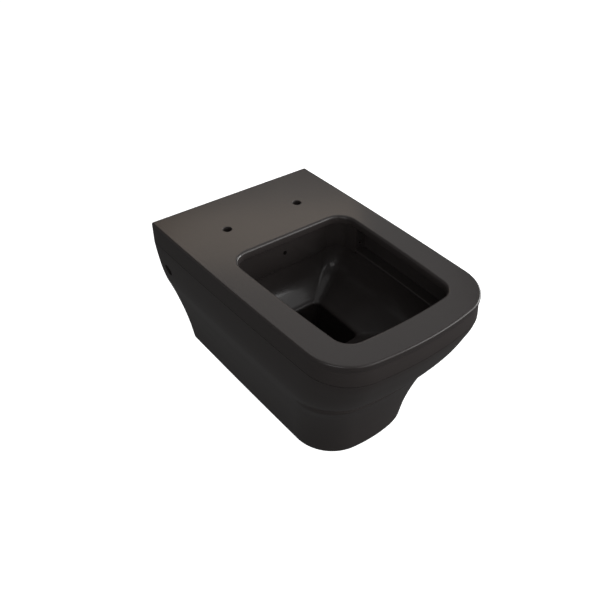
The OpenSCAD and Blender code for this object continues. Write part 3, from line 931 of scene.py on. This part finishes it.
@dataclass
class OuterShell:
    """Skirt and base below the seam, open at the wall."""

    dresser: Dresser
    flange_w: float = 0.020
    flange_d: float = 0.014
    hole_r: float = 0.011
    tool_corner_r: float = 0.001
    # Side of the blocks and length of the rod that cut the shell
    reach: float = 0.9
    cavity_steps: int = 24
    skirt_steps: int = 56
    base_edge_steps: int = 6
    # The chin's fold has closer rings: first share of the depth, step and number of steps
    fold_start: float = 0.36
    fold_step: float = 0.005
    fold_steps: int = 22

    def _cavity(self, t: float, floor_h: float, name: str) -> bpy.types.Object:
        """Makes the space inside the shell, as a tool to cut with.

        Args:
            t: Thickness of the wall.
            floor_h: Depth of the floor.
            name: Name of the tool.

        Returns:
            The tool.
        """
        shares = sweep(0.0, 1.0, self.cavity_steps)
        shares = [s for s in shares if SIZES.skirt_depth(s) < floor_h - OVERRUN]

        def ring(share: float, depth: float) -> Ring:
            """Inside of the wall at a share of the skirt."""
            plan = SIZES.skirt(share).inset(t)
            return replace(plan, back=-OVERRUN, back_r=self.tool_corner_r).ring(depth, Steps.MEDIUM)

        skin = Skin(ring(0.0, SIZES.rim_h - OVERRUN / 2))
        skin.draw(*[ring(s, SIZES.skirt_depth(s)) for s in shares])
        skin.draw(ring((floor_h - SIZES.rim_h) / (SIZES.height - SIZES.rim_h), floor_h))
        return make_piece(skin.cap_both().mesh, name)

    def _slab(self, from_wall: float, to_wall: float) -> bpy.types.Object:
        """Makes a slab.

        Args:
            from_wall: Distance of its near face from the wall.
            to_wall: Distance of its far face from the wall.

        Returns:
            The slab.
        """
        mesh = bmesh.new()
        size = Vector((self.reach, to_wall - from_wall, self.reach))
        bmesh.ops.create_cube(mesh, size=1.0)
        bmesh.ops.scale(mesh, vec=size, verts=mesh.verts[:])
        bmesh.ops.translate(mesh, vec=Vector((0, -(from_wall + to_wall) / 2, 0)), verts=mesh.verts[:])
        return make_piece(mesh, "slab")

    def build(self) -> bpy.types.Object:
        """Builds the shell.

        Returns:
            The dressed piece.
        """
        fold = {self.fold_start + i * self.fold_step for i in range(self.fold_steps)}
        shares = sorted(set(sweep(0.0, 1.0, self.skirt_steps)[1:]) | fold)
        top, foot = SIZES.skirt(0.0), SIZES.skirt(1.0)
        groove, edge_h = top.inset(SIZES.seam_d), SIZES.rim_h + SIZES.seam_half
        skin = Skin(groove.ring(SIZES.rim_h)).draw(groove.ring(edge_h), top.ring(edge_h))
        edge_start = SIZES.height - SIZES.base_edge_r
        skin.draw(*[
            SIZES.skirt(s).ring(SIZES.skirt_depth(s)) for s in shares if SIZES.skirt_depth(s) < edge_start
        ])
        for across, down in quarter(self.base_edge_steps):
            skin.draw(foot.inset(SIZES.base_edge_r * down).ring(edge_start + SIZES.base_edge_r * across))
        skin.draw(foot.inset(SIZES.base_edge_r + MARGIN).ring(SIZES.height))
        piece = make_piece(skin.cap_both().mesh, "glazed_skirt")
        cavity = self._cavity(SIZES.shell_t, SIZES.height - SIZES.shell_t, "cavity")
        apply_boolean(cavity, [self._slab(self.flange_d, self.reach)], Cut.INSIDE)
        mouth = self._cavity(self.flange_w, SIZES.height - self.flange_w, "mouth")
        apply_boolean(mouth, [self._slab(-self.reach, self.flange_d)], Cut.INSIDE)
        y, half = SIZES.fixing_from_wall, self.reach / 2
        hole = rod(spot(-half, y, SIZES.fixing_h), spot(half, y, SIZES.fixing_h), self.hole_r)
        apply_boolean(piece, [cavity, mouth, hole])
        return self.dresser.dress(piece, "outer_shell")


@dataclass
class FlushBox:
    """Distributor behind the opening, with its face, its corners and its jets."""

    dresser: Dresser
    back: float = 0.130
    corner_r: float = 0.030
    edge_r: float = 0.0015
    lip_t: float = 0.0045
    # How far above the joint the face ends and its lower edge begins
    face_foot: float = 0.004
    jet_h: float = 0.047
    centre_jet_r: float = 0.0045
    side_jet_r: float = 0.0035
    jet_depth: float = 0.012
    jet_out: float = 0.004
    arm_steps: int = 3
    corner_steps: int = 14
    face_steps: int = 9
    # Distance from the middle, and depth of the face's lower edge there
    edge: Shares = Shares((
        (0.0, 0.0800), (0.060, 0.0798), (0.080, 0.0765), (0.100, 0.0710), (0.1212, 0.0672),
    ))

    @property
    def face_half(self) -> float:
        """Half width of the pocket in front of the face."""
        return SIZES.ledge(0.0).half_width

    def _plan(self, offset: float) -> list[tuple[float, float, bool]]:
        """Plan outline as (x, distance from the wall, is on the pocket).

        Args:
            offset: How far the pocket is widened.

        Returns:
            The points, round the whole box.
        """
        half = self.face_half + SIZES.channel_w + SIZES.way_t
        face, r = self.face_half + offset, self.corner_r + offset
        cx, cy = self.face_half - self.corner_r, SIZES.box_face + self.corner_r
        front = SIZES.box_face - offset
        right = [(face, y, True) for y in sweep(SIZES.box_arm, cy, self.arm_steps)[:-1]]
        right += [
            (cx + r * math.cos(a), cy - r * math.sin(a), True)
            for a in sweep(0.0, math.pi / 2, self.corner_steps)
        ]
        right += [(x, front, True) for x in sweep(cx, 0.0, self.face_steps)[1:-1]]
        outer = [(half, self.back, False), (half, SIZES.box_arm, False)]
        left = [(-x, y, on) for x, y, on in reversed(outer + right)]
        return outer + right + [(0.0, front, True)] + left

    def _jet(self, x: float, y: float, r: float) -> bpy.types.Object:
        """Makes the rod that drills a jet into a face at a distance from the wall."""
        inner, outer = (spot(x, y + reach, self.jet_h) for reach in (-self.jet_depth, self.jet_out))
        return rod(inner, outer, r, HOLE_STEPS)

    def build(self) -> bpy.types.Object:
        """Builds the box.

        Returns:
            The dressed piece.
        """
        joint, r = SIZES.bowl_joint_h, self.edge_r

        def ring(offset: float, drop: Callable[[float], float]) -> Ring:
            """Ring whose points on the pocket drop with the lower edge."""
            return [
                spot(x, y, drop(self.edge.at(abs(x), 1)) if on else joint)
                for x, y, on in self._plan(offset)
            ]

        plan = self._plan(0.0)
        skin = Skin([spot(x, y, SIZES.deck_t) for x, y, _ in plan])
        skin.draw([spot(x, y, joint - self.face_foot if on else joint) for x, y, on in plan])
        for across, down in quarter(SMALL_ROUND_STEPS):
            skin.draw(ring(r * down, lambda depth: depth - r * (1 - across)))
        skin.draw(ring(self.lip_t, lambda depth: depth), ring(self.lip_t, lambda depth: joint))
        piece = make_piece(skin.cap_both().mesh, "flush_distributor")
        jet_x = self.face_half + SIZES.channel_w / 2
        jets = [self._jet(0.0, SIZES.box_face, self.centre_jet_r)]
        jets += [self._jet(side.value * jet_x, SIZES.box_arm, self.side_jet_r) for side in Side]
        apply_boolean(piece, jets)
        return self.dresser.dress(piece, "flush_box")


@dataclass
class WaterGuide:
    """Channel and ledge that lead the flush round the bowl."""

    dresser: Dresser
    ledge_t: float = 0.005
    nose_up: float = 0.002
    nose_w: float = 0.004
    nose_steps: int = 8
    under: float = 0.003
    under_slope: float = 0.0002
    # The corner under the nose: share of the nose's radius from the edge, and height
    corner_share: float = 0.3
    corner_up: float = 0.0003
    fillet_r: float = 0.0006
    fillet_steps: int = 6
    front_tuck: float = 0.008

    def _edge(self, d: float) -> Plan:
        """Outline a distance outside the ledge's edge, tucked in at the front."""
        plan = SIZES.ledge(d)
        return replace(plan, front=plan.front - self.front_tuck * min(d / SIZES.channel_w, 1.0))

    def _profile(self) -> list[tuple[float, float]]:
        """Section of the channel as (distance outside the ledge's edge, depth).

        Returns:
            The points of the section, in order round it.
        """
        joint, floor = SIZES.bowl_joint_h, SIZES.bowl_joint_h - self.ledge_t
        nose, r = floor - self.nose_up, self.nose_w / 2
        under_h = nose + 2 * r
        outer, c, f = SIZES.channel_w + SIZES.way_t, SIZES.channel_w, self.fillet_r
        points = [
            (outer, SIZES.deck_t), (outer, joint), (self.under, joint),
            (self.under, under_h + 2 * self.under_slope), (r, under_h + self.under_slope),
            (r * self.corner_share, under_h - self.corner_up), (0.0, nose + r),
        ]
        points += [
            (r - r * math.cos(a), nose + r - r * math.sin(a))
            for a in sweep(0.0, math.pi, self.nose_steps)[1:-1]
        ]
        points += [(self.nose_w, floor)]
        points += [
            (c - f + f * math.sin(a), floor - f + f * math.cos(a))
            for a in sweep(0.0, math.pi / 2, self.fillet_steps)
        ]
        return points + [(c, SIZES.deck_t)]

    def build(self) -> bpy.types.Object:
        """Builds the guide and trims it where the flush box takes over.

        Returns:
            The dressed piece.
        """
        mesh = closed_wall([self._edge(d).ring(depth) for d, depth in self._profile()])
        cut = bmesh.ops.bisect_plane(
            mesh, geom=mesh.verts[:] + mesh.edges[:] + mesh.faces[:], plane_co=spot(0, SIZES.box_arm, 0),
            plane_no=Vector((0, 1, 0)), clear_outer=True,
        )["geom_cut"]
        bmesh.ops.holes_fill(mesh, edges=[g for g in cut if isinstance(g, BMEdge)])
        return self.dresser.dress(make_piece(mesh, "flush_ledge"), "water_guide")


@dataclass
class Bowl:
    """Basin from the flush ways down to the throat of the sump."""

    dresser: Dresser
    wall_t: float = 0.009
    undercut: float = 0.003
    back_undercut: float = 0.006
    throat_l: float = 0.002
    steps: int = 70
    # The outside takes every fourth ring, down to this share of the depth
    outside_every: int = 4
    outside_end: float = 0.9
    # Share of the depth, and how far the sides, back, front and corners have gone to the sump
    table: Shares = Shares((
        (0.00, 0.000, 0.00, 0.00, 0.00),
        (0.16, 0.020, 0.01, 0.06, 0.05),
        (0.32, 0.065, 0.05, 0.15, 0.15),
        (0.47, 0.145, 0.12, 0.27, 0.28),
        (0.60, 0.260, 0.215, 0.40, 0.42),
        (0.71, 0.395, 0.35, 0.53, 0.56),
        (0.81, 0.555, 0.53, 0.67, 0.70),
        (0.89, 0.715, 0.70, 0.79, 0.82),
        (0.95, 0.850, 0.83, 0.89, 0.91),
        (0.98, 0.930, 0.91, 0.95, 0.96),
        (1.00, 0.970, 0.96, 0.98, 0.98),
        (1.03, 0.995, 0.994, 0.997, 1.00),
        (1.148, 1.000, 1.00, 1.00, 1.00),
    ))

    def _inside(self, t: float, d: float) -> Plan:
        """Outline of the inside.

        Args:
            t: Share of the bowl's depth.
            d: How far it is widened.

        Returns:
            The outline there.
        """
        top = SIZES.ledge(self.undercut)
        top = replace(top, back=SIZES.box_face - self.back_undercut, back_r=SIZES.opening_back_r)
        return top.between(SIZES.sump(0.0), [self.table.at(t, c) for c in (1, 2, 3, 4)]).inset(-d)

    def build(self) -> bpy.types.Object:
        """Builds the bowl.

        Returns:
            The dressed piece.
        """

        def depth(t: float) -> float:
            """Depth below the deck at a share of the bowl's depth."""
            return mix(SIZES.bowl_joint_h, SIZES.sump_edge_h, t)

        places = sweep(0.0, self.table.rows[-1][0], self.steps)
        inside = [self._inside(t, 0.0).ring(min(depth(t), SIZES.well_joint_h)) for t in reversed(places)]
        outside = [
            self._inside(t, self.wall_t).ring(depth(t) + self.wall_t * self.table.at(t, 1))
            for t in places[::self.outside_every] if t < self.outside_end
        ]
        throat = SIZES.sump(SIZES.wall_t)
        outside += [throat.ring(SIZES.well_joint_h - self.throat_l), throat.ring(SIZES.well_joint_h)]
        return self.dresser.dress(make_piece(closed_wall(inside + outside), "glazed_bowl"), "bowl")


@dataclass
class SumpWell:
    """Well that holds the water seal, with the way into the trapway."""

    dresser: Dresser
    steps: int = 20
    # Distances from the wall between which the way into the trapway is cut
    way_in: tuple[float, float] = (0.190, 0.218)
    # Share of the depth, and shares of the sump's width, length and corner radius
    table: Shares = Shares((
        (0.00, 1.00, 1.00, 1.0),
        (0.45, 0.93, 0.93, 1.1),
        (0.75, 0.84, 0.81, 1.3),
        (0.92, 0.76, 0.70, 1.5),
        (1.00, 0.58, 0.54, 1.3),
    ))

    def _outline(self, t: float, d: float) -> Plan:
        """Outline of the inside.

        Args:
            t: Share of the well's depth.
            d: How far it is widened.

        Returns:
            The outline there.
        """
        top = SIZES.sump(0.0)
        width, length, corner = (self.table.at(t, c) for c in (1, 2, 3))
        r = top.front_r * corner
        front = top.back + (top.front - top.back) * length
        return Plan(top.half_width * width, top.back, front, top.side_bow, top.front_bow, r, r).inset(-d)

    def build(self) -> bpy.types.Object:
        """Builds the well.

        Returns:
            The dressed piece.
        """

        def depth(t: float) -> float:
            """Depth below the deck at a share of the well's depth."""
            return mix(SIZES.well_joint_h, SIZES.well_floor_h, t)

        places = sweep(0.0, 1.0, self.steps)
        inside = [self._outline(t, 0.0).ring(depth(t), Steps.MEDIUM) for t in reversed(places)]
        outside = [self._outline(t, SIZES.wall_t).ring(depth(t), Steps.MEDIUM) for t in places]
        foot = self._outline(1.0, SIZES.wall_t).ring(SIZES.height - SIZES.shell_t, Steps.MEDIUM)
        skin = Skin(inside[0]).draw(*inside[1:], *outside, foot).cap_both()
        piece = make_piece(skin.mesh, "glazed_well")
        start, end = (spot(0, y, SIZES.trap_h) for y in self.way_in)
        apply_boolean(piece, [rod(start, end, SIZES.trap_r)])
        return self.dresser.dress(piece, "sump_well")


@dataclass
class Trapway:
    """Pipe from the well over the weir to the outlet, cast as a rising leg and a weir."""

    dresser: Dresser
    lead: float = 0.010
    first_r: float = 0.044
    riser: float = 0.002
    drop: float = 0.023
    points: int = 48
    bend_steps: int = 10
    run_steps: int = 8

    def _legs(self) -> tuple[list[Station], list[Station]]:
        """Centre lines of the rising leg and of the weir, which meet in the middle of the riser.

        Returns:
            The stations of the rising leg, and those of the weir.
        """
        well_back, trap_h, bore = SIZES.sump(SIZES.wall_t).back, SIZES.trap_h, SIZES.trap_r
        crown_h = SIZES.outlet_h - self.drop
        first_r, second_r = self.first_r, trap_h - self.first_r - self.riser - crown_h
        lead_y = well_back - self.lead
        crown_y = lead_y - first_r - second_r
        length = crown_y - SIZES.outlet_end
        middle = (lead_y - first_r, trap_h - first_r - self.riser / 2, math.pi / 2, bore)
        rising = [(well_back, trap_h, 0.0, bore)]
        rising += [
            (lead_y - first_r * math.sin(a), trap_h - first_r * (1 - math.cos(a)), a, bore)
            for a in sweep(0.0, math.pi / 2, self.bend_steps)
        ]
        weir = [middle]
        weir += [
            (crown_y + second_r * math.sin(a), crown_h + second_r * (1 - math.cos(a)), a, bore)
            for a in sweep(math.pi / 2, 0.0, self.bend_steps)
        ]
        # The run eases down from the crown to the outlet, and its direction follows the slope
        for t in sweep(0.0, 1.0, self.run_steps)[1:]:
            eased = t * t * (3 - 2 * t)
            turn = -math.atan(6 * t * (1 - t) * self.drop / length)
            widened = mix(bore, SIZES.outlet_bore_r, eased)
            weir.append((crown_y - length * t, crown_h + self.drop * eased, turn, widened))
        return rising + [middle], weir

    def _ring(self, station: Station, t: float) -> Ring:
        """Ring of the pipe.

        Args:
            station: Place on the centre line.
            t: How far the ring is widened.

        Returns:
            The ring.
        """
        y, depth, turn, bore = station
        r = bore + t
        turns = sweep(0.0, 2 * math.pi, self.points)[:-1]
        return [
            spot(r * math.cos(a), y - rise * math.sin(turn), depth + rise * math.cos(turn))
            for a, rise in ((a, r * math.sin(a)) for a in turns)
        ]

    def build(self) -> list[bpy.types.Object]:
        """Builds the two legs of the pipe.

        Returns:
            The dressed pieces.
        """
        pieces = []
        for name, node, stations in zip(
            ("glazed_upleg", "glazed_weir"), ("trap_upleg", "trap_weir"), self._legs(), strict=True
        ):
            rings = [self._ring(s, SIZES.wall_t) for s in stations]
            rings += [self._ring(s, 0.0) for s in reversed(stations)]
            pieces.append(self.dresser.dress(make_piece(closed_wall(rings), name), node))
        return pieces


@dataclass
class Ports:
    """Waste outlet, flush inlet and the inlet's rubber seal at the back."""

    glaze: Dresser
    rubber: Dresser
    # Distance from the wall to the ends of the outlet and the inlet
    gap: float = 0.006
    edge: float = 0.001
    outlet_r: float = 0.051
    outlet_edge_r: float = 0.002
    outlet_edge_steps: int = 5
    collar_r: float = 0.053
    collar_l: float = 0.013
    fillet: float = 0.0006
    socket_r: float = 0.0275
    socket_end: float = 0.036
    neck_r: float = 0.020
    neck_start: float = 0.052
    inlet_end: float = 0.130
    seal_r: float = 0.0225
    seal_face: float = 0.0030
    seal_end: float = 0.034
    flange_r: float = 0.0320

    def _turn(self, profile: Sequence[tuple[float, float]], depth: float, name: str) -> bpy.types.Object:
        """Turns a piece about an axis square to the wall.

        Args:
            profile: Closed outline as (radius, distance from the wall).
            depth: Depth of the axis.
            name: Name of the piece.

        Returns:
            The piece.
        """
        return make_piece(turned(profile, Vector((0, -1, 0)), spot(0, 0, depth)), name)

    def _outlet(self) -> bpy.types.Object:
        """Turns the waste outlet with its collar.

        Returns:
            The dressed piece.
        """
        inner, end, edge_r = SIZES.outlet_bore_r, SIZES.outlet_end, self.outlet_edge_r
        collar_y = end - self.collar_l
        profile = [
            (inner, self.gap + self.edge), (inner, end), (self.collar_r, end),
            (self.collar_r, collar_y + self.fillet), (self.collar_r - self.fillet, collar_y),
            (self.outlet_r, collar_y),
        ]
        profile += [
            (self.outlet_r - edge_r * (1 - math.cos(a)), self.gap + edge_r * (1 - math.sin(a)))
            for a in sweep(0.0, math.pi / 2, self.outlet_edge_steps)
        ]
        profile += [(inner + self.edge, self.gap)]
        return self.glaze.dress(self._turn(profile, SIZES.outlet_h, "waste_outlet"), "outlet_spigot")

    def _inlet(self) -> bpy.types.Object:
        """Turns the flush inlet, which narrows to the flush box.

        Returns:
            The dressed piece.
        """
        outer, neck_outer = SIZES.inlet_r, self.neck_r + SIZES.wall_t
        profile = [
            (self.socket_r, self.gap), (self.socket_r, self.socket_end), (self.neck_r, self.neck_start),
            (self.neck_r, self.inlet_end), (neck_outer, self.inlet_end), (neck_outer, self.neck_start),
            (outer, self.socket_end), (outer, self.gap + self.edge), (outer - self.edge, self.gap),
        ]
        return self.glaze.dress(self._turn(profile, SIZES.inlet_h, "flush_inlet"), "inlet_horn")

    def _seal(self) -> bpy.types.Object:
        """Turns the lip seal for the flush pipe.

        Returns:
            The dressed piece.
        """
        face = self.seal_face
        profile = [
            (self.seal_r, face + self.edge), (self.seal_r, self.seal_end), (self.socket_r, self.seal_end),
            (self.socket_r, self.gap), (self.flange_r, self.gap), (self.flange_r, face + self.fillet),
            (self.flange_r - self.fillet, face), (self.seal_r + self.edge, face),
        ]
        return self.rubber.dress(self._turn(profile, SIZES.inlet_h, "flush_pipe_seal"), "inlet_seal")

    def build(self) -> list[bpy.types.Object]:
        """Builds the three pieces."""
        return [self._outlet(), self._inlet(), self._seal()]


@dataclass
class SideFixing:
    """Bush and screw in one side hole."""

    side: Side
    bush: Dresser
    screw: Dresser
    start: float = 0.1421
    bush_l: float = 0.018
    bush_r: float = 0.0107
    nose_r: float = 0.007
    nose_l: float = 0.006
    thread_r: float = 0.004
    shank_r: float = 0.00395
    head_r: float = 0.0065
    head_l: float = 0.008
    screw_l: float = 0.035
    tip: float = 0.00076
    play: float = 0.0003
    edge: float = 0.0005
    # The key's hexagon: half of its width over the flats, and depth
    key_half: float = 0.003
    key_depth: float = 0.004
    key_sides: int = 6

    def build(self) -> list[bpy.types.Object]:
        """Builds the bush and the screw.

        Returns:
            The two dressed pieces.
        """
        axis = Vector((self.side.value, 0, 0))
        centre = spot(0, SIZES.fixing_from_wall, SIZES.fixing_h)
        end, edge = self.start + self.bush_l, self.edge
        seat = end - self.head_l
        foot, top = seat - self.screw_l, seat + self.head_l
        bore, pocket = self.thread_r + self.play, self.head_r + self.play
        bush = turned([
            (bore, self.start), (bore, seat), (pocket, seat), (pocket, end), (self.bush_r - edge, end),
            (self.bush_r, end - edge), (self.bush_r, self.start + self.nose_l), (self.nose_r, self.start),
        ], axis, centre)
        screw = make_piece(turned([
            (0.0, foot), (self.shank_r - self.tip, foot), (self.shank_r, foot + self.tip),
            (self.shank_r, seat), (self.head_r, seat), (self.head_r, top - edge),
            (self.head_r - edge, top), (0.0, top),
        ], axis, centre), f"clamp_screw_{self.side.word}")
        key_r = self.key_half / math.cos(math.pi / self.key_sides)
        key_end, key_top = (centre + axis * d for d in (top - self.key_depth, top + OVERRUN / 2))
        key = rod(key_end, key_top, key_r, self.key_sides)
        apply_boolean(screw, [key])
        bush_piece = make_piece(bush, f"clamp_bush_{self.side.word}")
        return [
            self.bush.dress(bush_piece, f"{self.side.word}_clamp_bush"),
            self.screw.dress(screw, f"{self.side.word}_clamp_screw"),
        ]


@dataclass(frozen=True)
class Lamp:
    """Soft light, round unless it has a height. Azimuth 0 is in front of the pan, 90 on its right."""

    name: str
    azimuth: float
    elevation: float
    power: float
    size: float
    height: float = 0.0
    colour: tuple[float, float, float] = (1.0, 1.0, 1.0)


@dataclass
class Studio:
    """Camera, pale floor and a ring of soft lights."""

    eye: tuple[float, float, float] = (-0.617884, -1.027316, 0.760142)
    azimuth: float = -37.2574
    elevation: float = 37.9956
    lens: float = 42.134
    sensor: float = 36.0
    floor_z: float = -0.31
    floor_size: float = 8.0
    floor_tone: float = 0.8
    floor_glow: float = 1.0
    fill: float = 0.055
    target: tuple[float, float, float] = (0.0, -0.27, 0.0)
    away: float = 2.5
    lamps: tuple[Lamp, ...] = (
        Lamp("right_key", 85, 12, 32, 1.8),
        Lamp("front_right", 45, 16, 16, 1.8),
        Lamp("front", 0, 14, 6, 1.8),
        Lamp("left", 300, 15, 8.5, 1.8),
        Lamp("left_back", 225, 10, 1, 1.8),
        Lamp("sheen", 150, 33.5, 0.95, 1.1, 0.3, (1.0, 0.78, 0.58)),
        Lamp("wall_glow", 143, 46, 3.2, 1.8),
        Lamp("overhead", 0, 88, 4, 2.4),
        Lamp("high_front", 30, 40, 6, 1.6),
    )

    def camera(self) -> None:
        """Places the camera at the photograph's view."""
        back = towards(self.azimuth, self.elevation)
        right = towards(self.azimuth + 90, 0.0)
        turn = Matrix((right, back.cross(right), back)).transposed().to_4x4()
        data = bpy.data.cameras.new("camera")
        data.sensor_width = self.sensor
        data.lens = self.lens
        camera = bpy.data.objects.new("camera", data)
        camera.matrix_world = Matrix.Translation(self.eye) @ turn
        bpy.context.scene.collection.objects.link(camera)
        bpy.context.scene.camera = camera

    def floor(self) -> None:
        """Lays the pale floor under the hanging pan. Only the camera sees it."""
        mesh = bmesh.new()
        bmesh.ops.create_grid(mesh, x_segments=1, y_segments=1, size=self.floor_size / 2)
        bmesh.ops.translate(mesh, vec=Vector((0, 0, self.floor_z)), verts=mesh.verts[:])
        floor = make_piece(mesh, "floor")
        g = Graph("pale_floor")
        g.set(
            Base_Color=(*[self.floor_tone] * 3, 1.0), Roughness=1.0, Specular_IOR_Level=0.0,
            Emission_Color=(1.0, 1.0, 1.0, 1.0), Emission_Strength=self.floor_glow,
        )
        floor.data.materials.append(g.material)
        floor.visible_glossy = False
        floor.visible_diffuse = False

    def light(self, lamp: Lamp) -> None:
        """Hangs a soft light that looks at the pan.

        Args:
            lamp: The light.
        """
        data = bpy.data.lights.new(lamp.name, "AREA")
        data.shape = "RECTANGLE" if lamp.height else "DISK"
        data.size = lamp.size
        if lamp.height:
            data.size_y = lamp.height
        data.energy = lamp.power
        data.color = lamp.colour
        direction = towards(lamp.azimuth, lamp.elevation)
        piece = bpy.data.objects.new(lamp.name, data)
        turn = direction.to_track_quat("Z", "Y").to_matrix().to_4x4()
        piece.matrix_world = Matrix.Translation(Vector(self.target) + direction * self.away) @ turn
        bpy.context.scene.collection.objects.link(piece)

    def build(self) -> None:
        """Sets up the studio."""
        world = bpy.data.worlds.new("studio")
        bpy.context.scene.world = world
        world.use_nodes = True
        background = world.node_tree.nodes["Background"]
        background.inputs["Color"].default_value = (1.0, 1.0, 1.0, 1.0)
        background.inputs["Strength"].default_value = self.fill
        bpy.context.scene.view_settings.view_transform = "Standard"
        self.floor()
        for lamp in self.lamps:
            self.light(lamp)


def main() -> None:
    """Builds the studio and then each sub-assembly in turn."""
    logging.basicConfig(level=logging.INFO, format="%(message)s")
    studio = Studio()
    studio.camera()
    finish = Glaze()
    glaze = Dresser("pan", finish.slot, finish.material())
    zinc, seal = (Dresser("pan", f.slot, f.material()) for f in (ZINC_STEEL, RUBBER))
    for casting in (RimDeck, OuterShell, FlushBox, WaterGuide, Bowl, SumpWell, Trapway):
        casting(glaze).build()
    Ports(glaze, seal).build()
    for node in ("rear_web", "left_fixing_boss", "right_fixing_boss"):
        glaze.keep(node)
    for node in (
        "left_wall_bracket", "right_wall_bracket", "bracket_washers", "bracket_nuts", "captive_nuts"
    ):
        zinc.keep(node)
    nylon, steel = BLACK_NYLON.material(), SCREW_STEEL.material()
    for side in Side:
        bush = Dresser(f"{side.word}_bush", BLACK_NYLON.slot, nylon)
        screw = Dresser(f"{side.word}_screw", SCREW_STEEL.slot, steel)
        SideFixing(side, bush, screw).build()
    studio.build()


if __name__ == "__main__":
    main()
